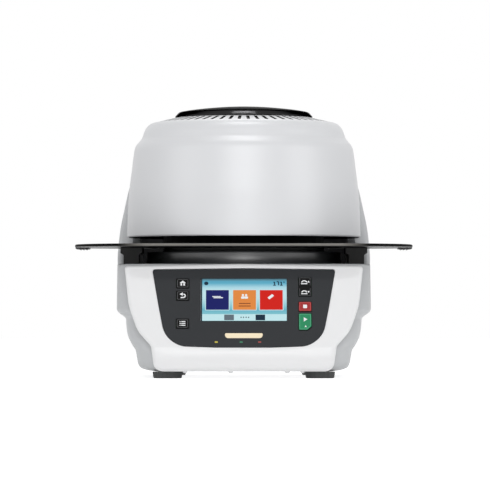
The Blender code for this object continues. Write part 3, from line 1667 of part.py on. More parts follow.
def vacuum_port():
    """The barbed hose port for the vacuum pump."""
    face = panel_face_y()
    reach = WALL + GAP
    profile = [
        (PORT_BORE, -PORT_BODY),
        (PORT_RADIUS, -PORT_BODY),
        (PORT_RADIUS, GAP),
        (PORT_RADIUS + FLANGE, GAP),
        (PORT_RADIUS + FLANGE, GAP + FLANGE),
        (PORT_RADIUS - FLANGE / 2, GAP + FLANGE),
        (PORT_RADIUS - FLANGE, reach),
        (PORT_BORE, reach),
    ]
    port = turned("vacuum_port", profile, (0.0, 0.0, 0.0), brass(), 16)
    port.rotation_euler = (-math.pi / 2, 0.0, 0.0)
    port.location = (PORT_X, face, PORT_Z)
    valve_rear = face - PORT_BODY - GAP
    valve = block(
        "vacuum_valve",
        (VALVE_WIDTH, VALVE_LENGTH, VALVE_HEIGHT),
        (PORT_X, valve_rear - VALVE_LENGTH / 2, BASE_BOTTOM_Z + WALL + GAP + VALVE_HEIGHT / 2),
        dark_panel(),
    )
    return soften(valve, GEARBOX_EDGE, 2)


def power_parts():
    """The power supply, standing on the base pan."""
    floor_z = BASE_BOTTOM_Z + WALL + GAP
    supply = block(
        "power_supply",
        (SUPPLY_WIDTH, SUPPLY_LENGTH, SUPPLY_HEIGHT),
        (SUPPLY_X, SUPPLY_Y, floor_z + SUPPLY_HEIGHT / 2),
        steel(),
    )
    return soften(supply, GEARBOX_EDGE, 2)


def foot(name, x, y):
    """A rubber foot: a round pad that flares a little towards the pan."""
    low = 0.0
    high = BASE_BOTTOM_Z - GAP
    profile = [
        (0.0, low),
        (FOOT_RADIUS - FOOT_FLARE, low),
        (FOOT_RADIUS - FOOT_FLARE / 2, low + FOOT_FLARE / 2),
        (FOOT_RADIUS, high),
        (0.0, high),
    ]
    return turned(name, profile, (x, y, 0.0), black_rubber(), 20)


def feet():
    foot("foot_front_left", -FOOT_X, FOOT_FRONT_Y)
    foot("foot_front_right", FOOT_X, FOOT_FRONT_Y)
    foot("foot_rear_left", -FOOT_X, FOOT_REAR_Y)
    foot("foot_rear_right", FOOT_X, FOOT_REAR_Y)


def build():
    clear_scene()
    base_housing()
    base_pan()
    deck_plate()
    rear_housing()
    front_bezel()
    frame = panel_frame()
    fascia_and_keys(frame)
    boards_behind_panel(frame)
    seat_pieces()
    for side, name in ((-1, "left"), (1, "right")):
        tray_bracket(side, name)
    cooling_tray()
    head_shell()
    vent_ring()
    head_cap()
    hot_parts()
    hinge_parts()
    rear_connectors()
    power_parts()
    feet()


build()
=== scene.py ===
# %% [markdown]
# # A table-top dental furnace, surface by surface
# The solids of the furnace come ready from the CAD model: every piece has its
# real size, place and joint there. This lesson gives them their looks. Pieces
# with a plain form keep their CAD solid and get a better material. Pieces whose
# curves show, such as the lacquered head or the moulded front frame, are worked
# out again as finer surfaces that lie where the solid lies.

import json
import math

import bmesh
import bpy
import numpy as np
from mathutils import Matrix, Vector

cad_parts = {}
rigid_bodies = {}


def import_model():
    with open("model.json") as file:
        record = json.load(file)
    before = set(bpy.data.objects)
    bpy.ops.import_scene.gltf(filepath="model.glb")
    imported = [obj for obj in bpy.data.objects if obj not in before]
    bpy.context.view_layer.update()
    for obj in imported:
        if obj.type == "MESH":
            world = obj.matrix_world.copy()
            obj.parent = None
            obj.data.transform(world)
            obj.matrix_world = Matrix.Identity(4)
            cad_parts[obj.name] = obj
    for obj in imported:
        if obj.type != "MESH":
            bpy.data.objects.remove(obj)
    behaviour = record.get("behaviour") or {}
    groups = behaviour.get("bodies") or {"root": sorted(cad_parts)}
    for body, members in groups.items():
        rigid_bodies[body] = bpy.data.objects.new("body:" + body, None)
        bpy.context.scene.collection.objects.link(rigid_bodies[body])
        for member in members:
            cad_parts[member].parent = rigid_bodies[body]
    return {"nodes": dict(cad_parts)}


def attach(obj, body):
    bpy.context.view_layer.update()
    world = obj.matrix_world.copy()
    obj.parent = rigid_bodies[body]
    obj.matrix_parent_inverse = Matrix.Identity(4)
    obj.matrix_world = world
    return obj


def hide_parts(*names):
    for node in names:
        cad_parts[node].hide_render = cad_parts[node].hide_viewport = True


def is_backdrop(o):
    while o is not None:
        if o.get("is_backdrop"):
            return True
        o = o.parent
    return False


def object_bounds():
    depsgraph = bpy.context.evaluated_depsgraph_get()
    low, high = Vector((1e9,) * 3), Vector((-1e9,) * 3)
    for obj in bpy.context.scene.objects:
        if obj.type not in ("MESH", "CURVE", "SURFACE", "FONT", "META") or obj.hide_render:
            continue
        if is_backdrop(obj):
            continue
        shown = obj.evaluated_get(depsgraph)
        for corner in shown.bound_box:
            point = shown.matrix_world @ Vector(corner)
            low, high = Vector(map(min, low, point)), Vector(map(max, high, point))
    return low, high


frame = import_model()
cad_low, cad_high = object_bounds()
nodes = frame["nodes"]
MM = 0.001


def box_of(node):
    """Lowest and highest corner of a solid, in metres."""
    spots = np.zeros(len(nodes[node].data.vertices) * 3)
    nodes[node].data.vertices.foreach_get("co", spots)
    spots = spots.reshape(-1, 3)
    return spots.min(axis=0), spots.max(axis=0)


def new_object(name, data):
    """Put a mesh, a lamp or a camera into the scene as an object."""
    made = bpy.data.objects.new(name, data)
    bpy.context.scene.collection.objects.link(made)
    return made


print("solids:", len(nodes), "box in mm:", np.round((np.array(cad_high) - cad_low) / MM, 1))

# %% [markdown]
# ## Camera
# A product photograph of this kind is taken from far away with a long lens, so
# the sides hardly converge. How much the round rim of the head bows shows how
# high the lens stood: a little above the table, looking up by about one degree.

# %% Camera
EYE = (0.0, -5.4, 0.062)
TARGET = (0.0014, 0.0, 0.157)
UP = (0.0, 0.0, 1.0)
LENS_MM, SENSOR_MM, SIGHT_M = 332.2, 36.0, 30.0


def turn_towards(item, eye, target):
    """Place an item at eye, with its -Z axis along the line to target.

    Its Z axis is the unit vector from target back to eye, its X axis is up
    crossed with Z, and its Y axis is Z crossed with X.
    """
    eye, back = np.array(eye), np.array(eye) - np.array(target)
    back = back / np.linalg.norm(back)
    side = np.cross(UP, back)
    side = side / np.linalg.norm(side)
    matrix = np.eye(4)
    matrix[:3, :3] = np.stack([side, np.cross(back, side), back], axis=1)
    matrix[:3, 3] = eye
    item.matrix_world = Matrix(matrix.tolist())


camera_data = bpy.data.cameras.new("camera")
camera_data.lens = LENS_MM
camera_data.sensor_width = SENSOR_MM
camera_data.clip_end = SIGHT_M
camera = new_object("camera", camera_data)
turn_towards(camera, EYE, TARGET)
bpy.context.scene.camera = camera
bpy.context.scene.view_settings.view_transform = "Standard"
print("camera stands", -EYE[1], "m in front of the furnace")

# %% [markdown]
# ## Studio light
# A silver and black product needs soft lamps of several kinds. A large one high
# in front models the round head from bright in the middle to grey at its sides. A
# narrower upright one gives the glossy pieces one soft highlight on their centre
# line. One at each side keeps the edges from sinking into shadow. A small one right
# above puts the highlight on the sloping edge of the domed cap, and a weak one
# behind lights the back.

# %% Lamps
def soft_lamp(name, eye, target, width, height, power):
    """A rectangular lamp at eye that faces target."""
    light = bpy.data.lights.new(name, "AREA")
    light.shape = "RECTANGLE"
    light.size = width
    light.size_y = height
    light.energy = power
    turn_towards(new_object(name, light), eye, target)


MIDDLE = (0.0, 0.0, 0.16)
soft_lamp("front_softbox", (0.0, -2.8, 1.25), MIDDLE, 1.8, 1.0, 16.5)
soft_lamp("upright_softbox", (0.0, -3.0, 0.75), MIDDLE, 0.42, 1.4, 3.2)
soft_lamp("left_fill", (-2.6, -1.4, 0.9), MIDDLE, 1.6, 1.4, 7.5)
soft_lamp("right_fill", (2.6, -1.4, 0.9), MIDDLE, 1.6, 1.4, 11.5)
soft_lamp("top_softbox", (0.0, -0.35, 2.2), MIDDLE, 0.80, 0.13, 8.0)
soft_lamp("rear_lamp", (0.0, 1.6, 1.8), MIDDLE, 0.6, 0.6, 4.0)

# %% [markdown]
# ## Room
# The furnace stands on a plain pale floor in front of nothing. The camera sees
# the surroundings as white, and so do mirror-like surfaces. The furnace itself
# is lit by a softer grey, so that its light sides still stand out. Two helpers
# keep the shader trees short: they set a node's inputs from a table.

# %% Node helpers
def set_inputs(node, values):
    """Give a node's inputs their values, from a table of names and values."""
    for name, value in values.items():
        node.inputs[name].default_value = value


def add_node(tree, kind, values=None):
    """A new node in a shader tree, with the inputs that the table names set."""
    made = tree.nodes.new(kind)
    set_inputs(made, values or {})
    return made


def seen_directly(tree):
    """A value that is 1 for camera, mirror and glass rays and 0 for the rest.

    It is the highest of three values of the light path, found in two steps.
    """
    path = add_node(tree, "ShaderNodeLightPath").outputs
    highest = path["Is Camera Ray"]
    for kind in ("Is Glossy Ray", "Is Transmission Ray"):
        step = add_node(tree, "ShaderNodeMath")
        step.operation = "MAXIMUM"
        tree.links.new(highest, step.inputs[0])
        tree.links.new(path[kind], step.inputs[1])
        highest = step.outputs[0]
    return highest


# %% Surroundings and floor
ROOM_LIGHT, PAPER_GLOW, PAPER_GLOW_SEEN = 0.47, 0.12, 0.62
WHITE_LIGHT = (1.0, 1.0, 1.0, 1.0)
FLOOR_HALF = 14.0
world = bpy.data.worlds.new("studio")
bpy.context.scene.world = world
world.use_nodes = True
tree = world.node_tree
tree.nodes.clear()
seen = add_node(tree, "ShaderNodeBackground", {"Color": WHITE_LIGHT})
lit = add_node(tree, "ShaderNodeBackground", {"Color": (0.98, 0.99, 1.0, 1.0), "Strength": ROOM_LIGHT})
choose = add_node(tree, "ShaderNodeMixShader")
out = add_node(tree, "ShaderNodeOutputWorld")
tree.links.new(seen_directly(tree), choose.inputs[0])
tree.links.new(lit.outputs[0], choose.inputs[1])
tree.links.new(seen.outputs[0], choose.inputs[2])
tree.links.new(choose.outputs[0], out.inputs["Surface"])

floor_mesh = bpy.data.meshes.new("floor")
corners = np.array([(-1, -1, 0), (1, -1, 0), (1, 1, 0), (-1, 1, 0)]) * FLOOR_HALF
floor_mesh.from_pydata(corners.tolist(), [], [(0, 1, 2, 3)])
floor = new_object("floor", floor_mesh)
paper = bpy.data.materials.new("white_paper")
paper.use_nodes = True
tree = paper.node_tree
shader = tree.nodes["Principled BSDF"]
set_inputs(shader, {
    "Base Color": (0.93, 0.93, 0.93, 1.0), "Roughness": 0.9, "Specular IOR Level": 0.0,
    "Emission Color": WHITE_LIGHT,
})
glow = add_node(tree, "ShaderNodeMapRange", {"To Min": PAPER_GLOW, "To Max": PAPER_GLOW_SEEN})
tree.links.new(seen_directly(tree), glow.inputs["Value"])
tree.links.new(glow.outputs["Result"], shader.inputs["Emission Strength"])
floor_mesh.materials.append(paper)
floor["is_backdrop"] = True

# %% [markdown]
# ## Finishes
# A real surface is never one flat colour. Moulded plastic has a fine spark
# texture, lacquer carries tiny flakes, rolled steel has lines along the rolling
# direction, and fingers and cleaning leave slow changes in gloss. One recipe
# covers them all: a slow noise shifts colour and gloss a little, and a fine
# noise raises the surface, by a few hundredths of a millimetre where it is smooth.

# %% A recipe for finishes
LEAST_ROUGHNESS, COAT_ROUGHNESS, BUMP_DISTANCE = 0.02, 0.06, 0.0004


def finish(name, colour, roughness, metallic=0.0, grain=(900.0, 0.05), mottle=(14.0, 0.04),
           gloss_change=0.06, stretch=(1.0, 1.0, 1.0), coat=0.0, specular=0.5, edge_tint=1.0):
    """A material whose colour is colour x (1 +- mottle share), driven by a slow noise.

    grain is (bumps per metre, strength), mottle is (patches per metre, share),
    gloss_change is how far the roughness swings, and stretch squeezes the noise
    along an axis, so that a high value gives fine lines across it. A low edge
    tint holds back the pale sheen that a polished dark metallic lacquer would
    show where it is seen at a grazing angle.
    """
    made = bpy.data.materials.new(name)
    made.use_nodes = True
    tree = made.node_tree
    shader = tree.nodes["Principled BSDF"]
    place = add_node(tree, "ShaderNodeTexCoord")
    squeeze = add_node(tree, "ShaderNodeMapping", {"Scale": stretch})
    slow = add_node(tree, "ShaderNodeTexNoise", {"Scale": mottle[0], "Detail": 3.0})
    fine = add_node(tree, "ShaderNodeTexNoise", {"Scale": grain[0], "Detail": 2.0})
    tree.links.new(place.outputs["Object"], squeeze.inputs["Vector"])
    tree.links.new(squeeze.outputs[0], slow.inputs["Vector"])
    tree.links.new(squeeze.outputs[0], fine.inputs["Vector"])
    tint = add_node(tree, "ShaderNodeMix")
    tint.data_type = "RGBA"
    colour = np.array(colour)
    dark, light = colour * (1.0 - mottle[1]), np.minimum(1.0, colour * (1.0 + mottle[1]))
    set_inputs(tint, {"A": (*dark, 1.0), "B": (*light, 1.0)})
    tree.links.new(slow.outputs["Fac"], tint.inputs["Factor"])
    tree.links.new(tint.outputs["Result"], shader.inputs["Base Color"])
    low, high = max(LEAST_ROUGHNESS, roughness - gloss_change / 2), roughness + gloss_change / 2
    swing = add_node(tree, "ShaderNodeMapRange", {"To Min": low, "To Max": high})
    tree.links.new(slow.outputs["Fac"], swing.inputs["Value"])
    tree.links.new(swing.outputs["Result"], shader.inputs["Roughness"])
    bump = add_node(tree, "ShaderNodeBump", {"Strength": grain[1], "Distance": BUMP_DISTANCE})
    tree.links.new(fine.outputs["Fac"], bump.inputs["Height"])
    tree.links.new(bump.outputs["Normal"], shader.inputs["Normal"])
    set_inputs(shader, {
        "Metallic": metallic, "Coat Weight": coat, "Coat Roughness": COAT_ROUGHNESS,
        "Specular IOR Level": specular, "Specular Tint": (edge_tint, edge_tint, edge_tint, 1.0),
    })
    return made


LIT_SHARE, GLOW_SHARE = 0.30, 0.66


def glowing(name, colour):
    """A lit colour under glass: part of it is lit from outside, the rest glows by itself."""
    colour = np.array(colour)
    made = finish(name, colour * LIT_SHARE, 0.30, grain=(1500.0, 0.01), mottle=(60.0, 0.03), specular=0.1)
    shader = made.node_tree.nodes["Principled BSDF"]
    set_inputs(shader, {"Emission Color": (*colour, 1.0), "Emission Strength": GLOW_SHARE})
    return made


# %% [markdown]
# ## The furnace's own finishes
# Each finish gets a name, a colour, a roughness and how metallic the surface is,
# and then its grain and its mottle. Some surfaces of one kind share these last two:
# the black polished ones have no grain at all, the black moulded ones have a fine
# one, and the cast ones have a coarser one.

# %% Finishes of the furnace
POLISHED = ((500.0, 0.0), (18.0, 0.05))
MOULDED = ((1800.0, 0.10), (25.0, 0.08))
CAST_SKIN = ((900.0, 0.30), (20.0, 0.10), 0.12)
SILVER = finish("silver_lacquer", (0.70, 0.705, 0.72), 0.38, 0.08, (2600.0, 0.05), (9.0, 0.015), 0.04)
SIDE_GREY = finish("light_grey_moulding", (0.54, 0.55, 0.56), 0.42, 0.0, (1800.0, 0.10), (12.0, 0.03))
WHITE = finish(
    "white_gloss_moulding", (0.83, 0.83, 0.835), 0.34, 0.0, (700.0, 0.015), (10.0, 0.01), 0.04, coat=0.1)
PANEL = finish(
    "dark_panel_film", (0.022, 0.024, 0.027), 0.46, 0.0, (2400.0, 0.05), (30.0, 0.06), specular=0.22)
BLACK_GLOSS = finish("black_gloss_lacquer", (0.022, 0.022, 0.023), 0.30, 1.0, *POLISHED, edge_tint=0.04)
BLACK_POLISH = finish(
    "black_polished_band", (0.030, 0.030, 0.031), 0.11, 1.0, *POLISHED, 0.02, edge_tint=0.04)
COLLAR_BLACK = finish("black_polished_collar", (0.042, 0.044, 0.046), 0.30, 0.0, *POLISHED, specular=1.0)
KEY_BLACK = finish(
    "black_key_moulding", (0.004, 0.004, 0.004), 0.50, 0.0, (1800.0, 0.06), (25.0, 0.08), specular=0.1)
BLACK_SATIN = finish("black_satin_moulding", (0.013, 0.013, 0.014), 0.46, 0.0, *MOULDED, specular=0.3)
BRACKET_BLACK = finish("black_bracket_moulding", (0.014, 0.014, 0.014), 0.50, 0.0, *MOULDED, specular=0.3)
# Dark grey painted shade for the inside of the hinge's well.
WELL_SHADE_GREY = finish(
    "dark_grey_liner", (0.045, 0.045, 0.047), 0.60, 0.0, (1200.0, 0.15), (20.0, 0.08), specular=0.2)
DARK_CAST = finish("blackened_cast_metal", (0.030, 0.030, 0.031), 0.55, 0.0, *CAST_SKIN, specular=0.3)
# Near-black painted shade, for places where shade falls: inside the head, in its air slots and in the gap
# under it.
SHADE_BLACK = finish(
    "blackened_steel", (0.006, 0.006, 0.006), 0.70, 0.0, (700.0, 0.20), (20.0, 0.20), specular=0.1)
ENAMEL = finish(
    "black_enamel", (0.012, 0.012, 0.012), 0.40, 0.0, (1200.0, 0.12), (20.0, 0.08), 0.10, specular=0.3)
RUBBER = finish(
    "black_rubber", (0.075, 0.077, 0.077), 0.82, 0.0, (1400.0, 0.25), (30.0, 0.12), specular=0.3)
STEEL = finish(
    "zinc_plated_steel", (0.56, 0.56, 0.57), 0.30, 1.0, (260.0, 0.08), (6.0, 0.06), 0.12, (1.0, 12.0, 1.0))
HOT_STEEL = finish("heat_tinted_steel", (0.20, 0.17, 0.14), 0.42, 1.0, (400.0, 0.15), (16.0, 0.35), 0.20)
PAINTED = finish("grey_painted_steel", (0.46, 0.47, 0.48), 0.48, 0.0, (1600.0, 0.22), (14.0, 0.04))
CAST = finish("cast_light_metal", (0.42, 0.42, 0.43), 0.46, 0.9, *CAST_SKIN)
BRASS = finish("turned_brass", (0.72, 0.53, 0.24), 0.26, 1.0, (500.0, 0.06), (20.0, 0.10), 0.12)
FIBRE = finish("ceramic_fibre", (0.84, 0.82, 0.76), 0.95, 0.0, (420.0, 0.90), (26.0, 0.10), 0.02)
QUARTZ = finish("fired_ceramic", (0.80, 0.78, 0.72), 0.34, 0.0, (700.0, 0.10), (30.0, 0.08))
BOARD = finish("green_circuit_board", (0.015, 0.14, 0.05), 0.40, 0.0, (900.0, 0.12), (60.0, 0.25))
GLASS = finish(
    "screen_glass", (0.012, 0.030, 0.045), 0.12, 0.0, (400.0, 0.004), (12.0, 0.05), 0.03, specular=0.3)
PRINT = finish("white_print", (0.84, 0.85, 0.86), 0.50, 0.0, (2500.0, 0.03), (80.0, 0.02))
print("finishes:", len(bpy.data.materials))

# %% [markdown]
# ## From points to surfaces
# Every new surface below is a grid of points worked out with whole arrays, and
# one helper joins neighbouring points with quads. Points that fall together, as
# at the pole of a dome, are merged, and the faces are turned outwards.

# %% Grid helpers
SHARP_ANGLE, MERGE_DISTANCE = math.radians(32.0), 1e-6


def surface(name, points, faces, material, body):
    """Make a named mesh of points and faces, clean it, and let it ride on a body."""
    mesh = bpy.data.meshes.new(name)
    mesh.from_pydata(np.asarray(points, float).reshape(-1, 3).tolist(), [], faces)
    work = bmesh.new()
    work.from_mesh(mesh)
    bmesh.ops.remove_doubles(work, verts=work.verts[:], dist=MERGE_DISTANCE)
    bmesh.ops.recalc_face_normals(work, faces=work.faces[:])
    work.to_mesh(mesh)
    work.free()
    mesh.materials.append(material)
    mesh.shade_smooth()
    mesh.set_sharp_from_angle(angle=SHARP_ANGLE)
    made = new_object(name, mesh)
    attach(made, body)
    return made


def grid_faces(rows, columns, closed=False):
    """Quads between each grid point and its next, round each row and from row to row.

    Point (i, j) has number i x columns + j, so a quad is (i, j), (i, j+1),
    (i+1, j+1), (i+1, j). A closed grid also joins its last row to its first.
    """
    index = np.arange(rows * columns).reshape(rows, columns)
    if closed:
        index = np.vstack([index, index[:1]])
    index = np.hstack([index, index[:, :1]])
    quads = np.stack([index[:-1, :-1], index[:-1, 1:], index[1:, 1:], index[1:, :-1]], axis=-1)
    return quads.reshape(-1, 4).tolist()


def stack_of_loops(name, loops, material, body):
    """Join each loop of points to the next with quads, and fill the first and the last."""
    rows, columns = len(loops), len(loops[0])
    faces = grid_faces(rows, columns)
    faces += [list(range(columns)), list(range((rows - 1) * columns, rows * columns))]
    return surface(name, loops, faces, material, body)


def ring_of_loops(name, loops, material, body):
    """Join each loop of points to the next with quads, and the last to the first."""
    faces = grid_faces(len(loops), len(loops[0]), closed=True)
    return surface(name, loops, faces, material, body)


def revolve(name, profile, steps, material, body, closed=True, centre=(0.0, 0.0)):
    """Turn a profile of (radius, height) rows round the upright line through centre.

    Point (i, j) is (radius_i cos a_j, radius_i sin a_j, height_i), where a_j runs
    round the circle in equal steps. A closed profile comes back to its first point.
    """
    profile = np.asarray(profile, float)
    turn = np.linspace(0.0, math.tau, steps, endpoint=False)
    x = centre[0] + profile[:, :1] * np.cos(turn)
    y = centre[1] + profile[:, :1] * np.sin(turn)
    z = np.broadcast_to(profile[:, 1:], x.shape)
    faces = grid_faces(len(profile), steps, closed)
    return surface(name, np.stack([x, y, z], axis=-1), faces, material, body)


def smooth_line(points, per_span=6):
    """A smooth curve through points of any number of values each.

    Each span is a cubic whose slope at a point is half the step from the point
    before to the point after: p(t) = h00 p0 + h10 m0 + h01 p1 + h11 m1.
    """
    points = np.asarray(points, float)
    slope = np.gradient(points, axis=0)
    t = np.linspace(0.0, 1.0, per_span, endpoint=False)[None, :, None]
    p0, p1 = points[:-1, None], points[1:, None]
    m0, m1 = slope[:-1, None], slope[1:, None]
    spans = (
        (2 * t**3 - 3 * t**2 + 1) * p0
        + (t**3 - 2 * t**2 + t) * m0
        + (3 * t**2 - 2 * t**3) * p1
        + (t**3 - t**2) * m1
    )
    return np.vstack([spans.reshape(-1, points.shape[1]), points[-1:]])


def cut_away(target, cutter, body, finish_inside=None):
    """Take a closed cutter mesh out of a surface and hide the cutter.

    Walls that the cut opens take the finish that is given for the inside.
    """
    if finish_inside:
        cutter.data.materials.clear()
        cutter.data.materials.append(finish_inside)
    cutter.hide_render = True
    cutter.hide_viewport = True
    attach(cutter, body)
    hole = target.modifiers.new(cutter.name, "BOOLEAN")
    hole.operation = "DIFFERENCE"
    hole.solver = "EXACT"
    hole.object = cutter
    hole.material_mode = "TRANSFER" if finish_inside else "INDEX"


CUBE = np.array([
    (0, 0, 0), (1, 0, 0), (1, 1, 0), (0, 1, 0), (0, 0, 1), (1, 0, 1), (1, 1, 1), (0, 1, 1),
])
CUBE_SIDES = [(3, 2, 1, 0), (4, 5, 6, 7), (0, 1, 5, 4), (1, 2, 6, 5), (2, 3, 7, 6), (3, 0, 4, 7)]


def cutter_box(name, low, high):
    """A closed box between two corners given in millimetres."""
    low, high = np.array(low) * MM, np.array(high) * MM
    mesh = bpy.data.meshes.new(name)
    mesh.from_pydata((low + (high - low) * CUBE).tolist(), [], CUBE_SIDES)
    return new_object(name, mesh)


def face_middles(item):
    """The middle of each face of a piece, as rows of x, y and z."""
    middles = np.zeros(len(item.data.polygons) * 3)
    item.data.polygons.foreach_get("center", middles)
    return middles.reshape(-1, 3)


def second_finish(item, material, chosen):
    """Give the chosen faces of a piece a second material."""
    item.data.materials.append(material)
    item.data.polygons.foreach_set("material_index", chosen.astype(np.int32))


# %% [markdown]
# ## The head shell
# The head is a deep-drawn and lacquered bell: almost upright at the rim, drawn in
# towards a soft shoulder, then stepping in under the ring of air slots. Nothing on
# it is sharp, and a smooth curve through the turning profile gives that look. The
# rim is rolled inwards, which is why a bright line runs along its lower edge. Its
# inside is painted near-black as shade, and the air slots look black against it.
# Behind, two notches let the arms out.

# %% Head shell
SIDES = ((-1, "left"), (1, "right"))
ARM_NOTCH = (64.0, 76.0)
HEAD_LOW, HEAD_HIGH = box_of("head_shell")
HEAD_Y = (HEAD_LOW[1] + HEAD_HIGH[1]) / 2
HEAD_CENTRE = (0.0, HEAD_Y)
HEAD_LINE = np.array([
    (136.6, 165.0), (137.7, 165.5), (138.25, 166.7), (138.35, 168.6), (138.3, 176.0), (137.8, 190.0),
    (136.6, 215.0), (135.0, 230.0), (133.2, 244.0), (131.6, 257.0), (130.4, 265.5), (129.4, 270.6),
    (127.4, 274.9), (124.4, 278.5), (121.4, 282.2), (119.7, 286.4), (118.1, 291.2), (115.4, 295.8),
    (111.8, 299.3), (107.4, 301.4),
]) * MM
SHELL_WALL, SHELL_BORE = 2.6 * MM, 103.6 * MM
SHADED_INSIDE_DEPTH, SHADED_INSIDE_TOP = 1.2 * MM, 300.5 * MM
outer = smooth_line(HEAD_LINE, 5)
inner = outer[::-1] - np.array([SHELL_WALL, 0.0])
inner[:, 1] -= SHELL_WALL * np.linspace(1.0, 0.0, len(inner))
inner[:, 0] = np.maximum(inner[:, 0], SHELL_BORE)
profile = np.vstack([outer, inner])
head = revolve("head_shell_lacquered", profile, 192, SILVER, "head", centre=HEAD_CENTRE)
middles = face_middles(head)
reach = np.hypot(middles[:, 0], middles[:, 1] - HEAD_Y)
skin = np.interp(middles[:, 2], outer[:, 1], outer[:, 0]) - SHADED_INSIDE_DEPTH
# Faces inside the outer skin get near-black painted shade.
second_finish(head, SHADE_BLACK, (reach < skin) & (middles[:, 2] < SHADED_INSIDE_TOP))
for side, word in SIDES:
    low, high = sorted(side * edge for edge in ARM_NOTCH)
    cut_away(head, cutter_box("arm_notch_" + word, (low, 60.0, 152.0), (high, 120.0, 192.0)), "head")
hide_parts("head_shell")
print("head shell points:", len(head.data.vertices))

# %% [markdown]
# ## The ring of air slots
# Warm air leaves the head through a ring of radial slots under the cap. Each
# slot is a round-ended opening, and sixty of them stand six degrees apart. One
# sixtieth of the ring is worked out as strips between the edge of its sector and
# the edge of its slot. The rest is the same sector, turned. Its underside and the
# walls of the slots are painted near-black as shade.

# %% Vent ring
SLOTS = 60
RING_IN, RING_OUT = 66.0 * MM, 107.2 * MM
SLOT_IN, SLOT_OUT, SLOT_HALF = 85.4 * MM, 103.6 * MM, 1.9 * MM
RING_SLOPE, RING_Z, RING_THICK = 0.225, 301.3 * MM, 1.8 * MM
SHADED_UNDER, SHADED_MARGIN = 0.3 * MM, 1.0 * MM
SIDE_STEPS = 6


def round_the_sector(radius_a, radius_b, half_turn):
    """Points round one sector, in turn along its first side, rim, second side and bore.

    Each is (radius cos turn, radius sin turn); the turn runs from -half_turn to
    half_turn on the rim and back again on the bore.
    """
    out = np.linspace(radius_a, radius_b, SIDE_STEPS, endpoint=False)
    level = np.full(SIDE_STEPS, radius_b)
    back = radius_a + radius_b - out
    swing = np.linspace(-half_turn, half_turn, SIDE_STEPS, endpoint=False)
    flat_turn = np.full(SIDE_STEPS, half_turn)
    radius = np.concatenate([out, level, back, np.full(SIDE_STEPS, radius_a)])
    turn = np.concatenate([-flat_turn, swing, flat_turn, -swing])
    return np.stack([radius * np.cos(turn), radius * np.sin(turn)], axis=-1)


def round_the_slot(start, end, half):
    """Points round a slot with half-circle ends, in the same order as the sector's."""
    bow = np.linspace(-0.5, 0.5, SIDE_STEPS, endpoint=False) * math.pi
    run = np.linspace(start, end, SIDE_STEPS, endpoint=False)
    level = np.full(SIDE_STEPS, half)
    x = np.concatenate([run, end + half * np.cos(bow), start + end - run, start - half * np.cos(bow)])
    y = np.concatenate([-level, half * np.sin(bow), level, -half * np.sin(bow)])
    return np.stack([x, y], axis=-1)


def on_the_cone(plan, drop):
    """Give plan points their height: the ring's top climbs by its slope from rim to bore."""
    height = RING_Z + (RING_OUT - np.hypot(plan[:, 0], plan[:, 1])) * RING_SLOPE - drop
    return np.column_stack([plan, height])


sector_edge = round_the_sector(RING_IN, RING_OUT, math.pi / SLOTS)
slot_edge = round_the_slot(SLOT_IN, SLOT_OUT, SLOT_HALF)
sector = np.stack([
    on_the_cone(sector_edge, RING_THICK), on_the_cone(sector_edge, 0.0),
    on_the_cone(slot_edge, 0.0), on_the_cone(slot_edge, RING_THICK),
])
columns = len(sector_edge)
quads = np.array(grid_faces(4, columns, closed=True))
row, column = quads.min(axis=1) // columns, quads[:, 0] % columns
is_side_wall = (row == 0) & (quads.max(axis=1) < 2 * columns) & (column // SIDE_STEPS % 2 == 0)
quads = quads[~is_side_wall]
turns = (np.arange(SLOTS) + 0.5) * math.tau / SLOTS - math.pi / 2
flat = sector.reshape(-1, 3)
x = np.cos(turns)[:, None] * flat[:, 0] - np.sin(turns)[:, None] * flat[:, 1]
y = np.sin(turns)[:, None] * flat[:, 0] + np.cos(turns)[:, None] * flat[:, 1] + HEAD_Y
z = np.broadcast_to(flat[:, 2], x.shape)
ring_faces = (quads[None] + np.arange(SLOTS)[:, None, None] * len(flat)).reshape(-1, 4).tolist()
points = np.stack([x, y, z], axis=-1)
ring = surface("vent_ring_slotted", points, ring_faces, SILVER, "head")
middles = face_middles(ring)
reach = np.hypot(middles[:, 0], middles[:, 1] - HEAD_Y)
under = RING_Z + (RING_OUT - reach) * RING_SLOPE - middles[:, 2]
shaded_slot_faces = (under > SHADED_UNDER) & (reach > RING_IN + SHADED_MARGIN) & (reach < RING_OUT - SHADED_MARGIN)
# The underside and the slot walls get near-black painted shade.
second_finish(ring, SHADE_BLACK, shaded_slot_faces)
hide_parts("vent_ring")
print("vent ring faces:", len(ring.data.polygons))

# %% [markdown]
# ## The cap
# The cap is a shallow black dome, turned from one profile: nearly flat in the
# middle, falling faster towards the rim, with a sloping band round the edge. The
# dome is satin and the band is polished, so that the band shows the lamp above as
# one bright spot on its front.

# %% Cap
CAP_LINE = np.array([
    (0.0, 320.6), (14.0, 320.4), (30.0, 319.6), (48.0, 318.0), (62.0, 316.4), (71.0, 315.0), (76.0, 314.0),
    (78.2, 312.7), (79.7, 311.1), (81.1, 309.5), (81.6, 308.5), (81.2, 307.7), (79.6, 307.3),
]) * MM
CAP_UNDER = np.array([(70.0, 308.5), (60.0, 309.2), (0.0, 310.4)]) * MM
BAND_LOW, BAND_HIGH = 307.2 * MM, 313.6 * MM
profile = np.vstack([smooth_line(CAP_LINE, 5), CAP_UNDER])
cap = revolve("cap_domed", profile, 160, BLACK_GLOSS, "head", closed=False, centre=HEAD_CENTRE)
height = face_middles(cap)[:, 2]
second_finish(cap, BLACK_POLISH, (height > BAND_LOW) & (height < BAND_HIGH))
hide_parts("head_cap")
print("cap width in mm:", round(cap.dimensions.x / MM, 1))

# %% [markdown]
# ## The base housing
# The grey base is one tall moulding. Seen from the front, its side comes down
# straight, steps in under a soft ledge, and then tapers in three shallow waves
# to a rolled lower edge. Seen from above, its corners are wide arcs, and the
# front face leans back with the control panel. So every height has its own half
# width and its own front, and the plan's arcs are worked out for all heights at
# once.

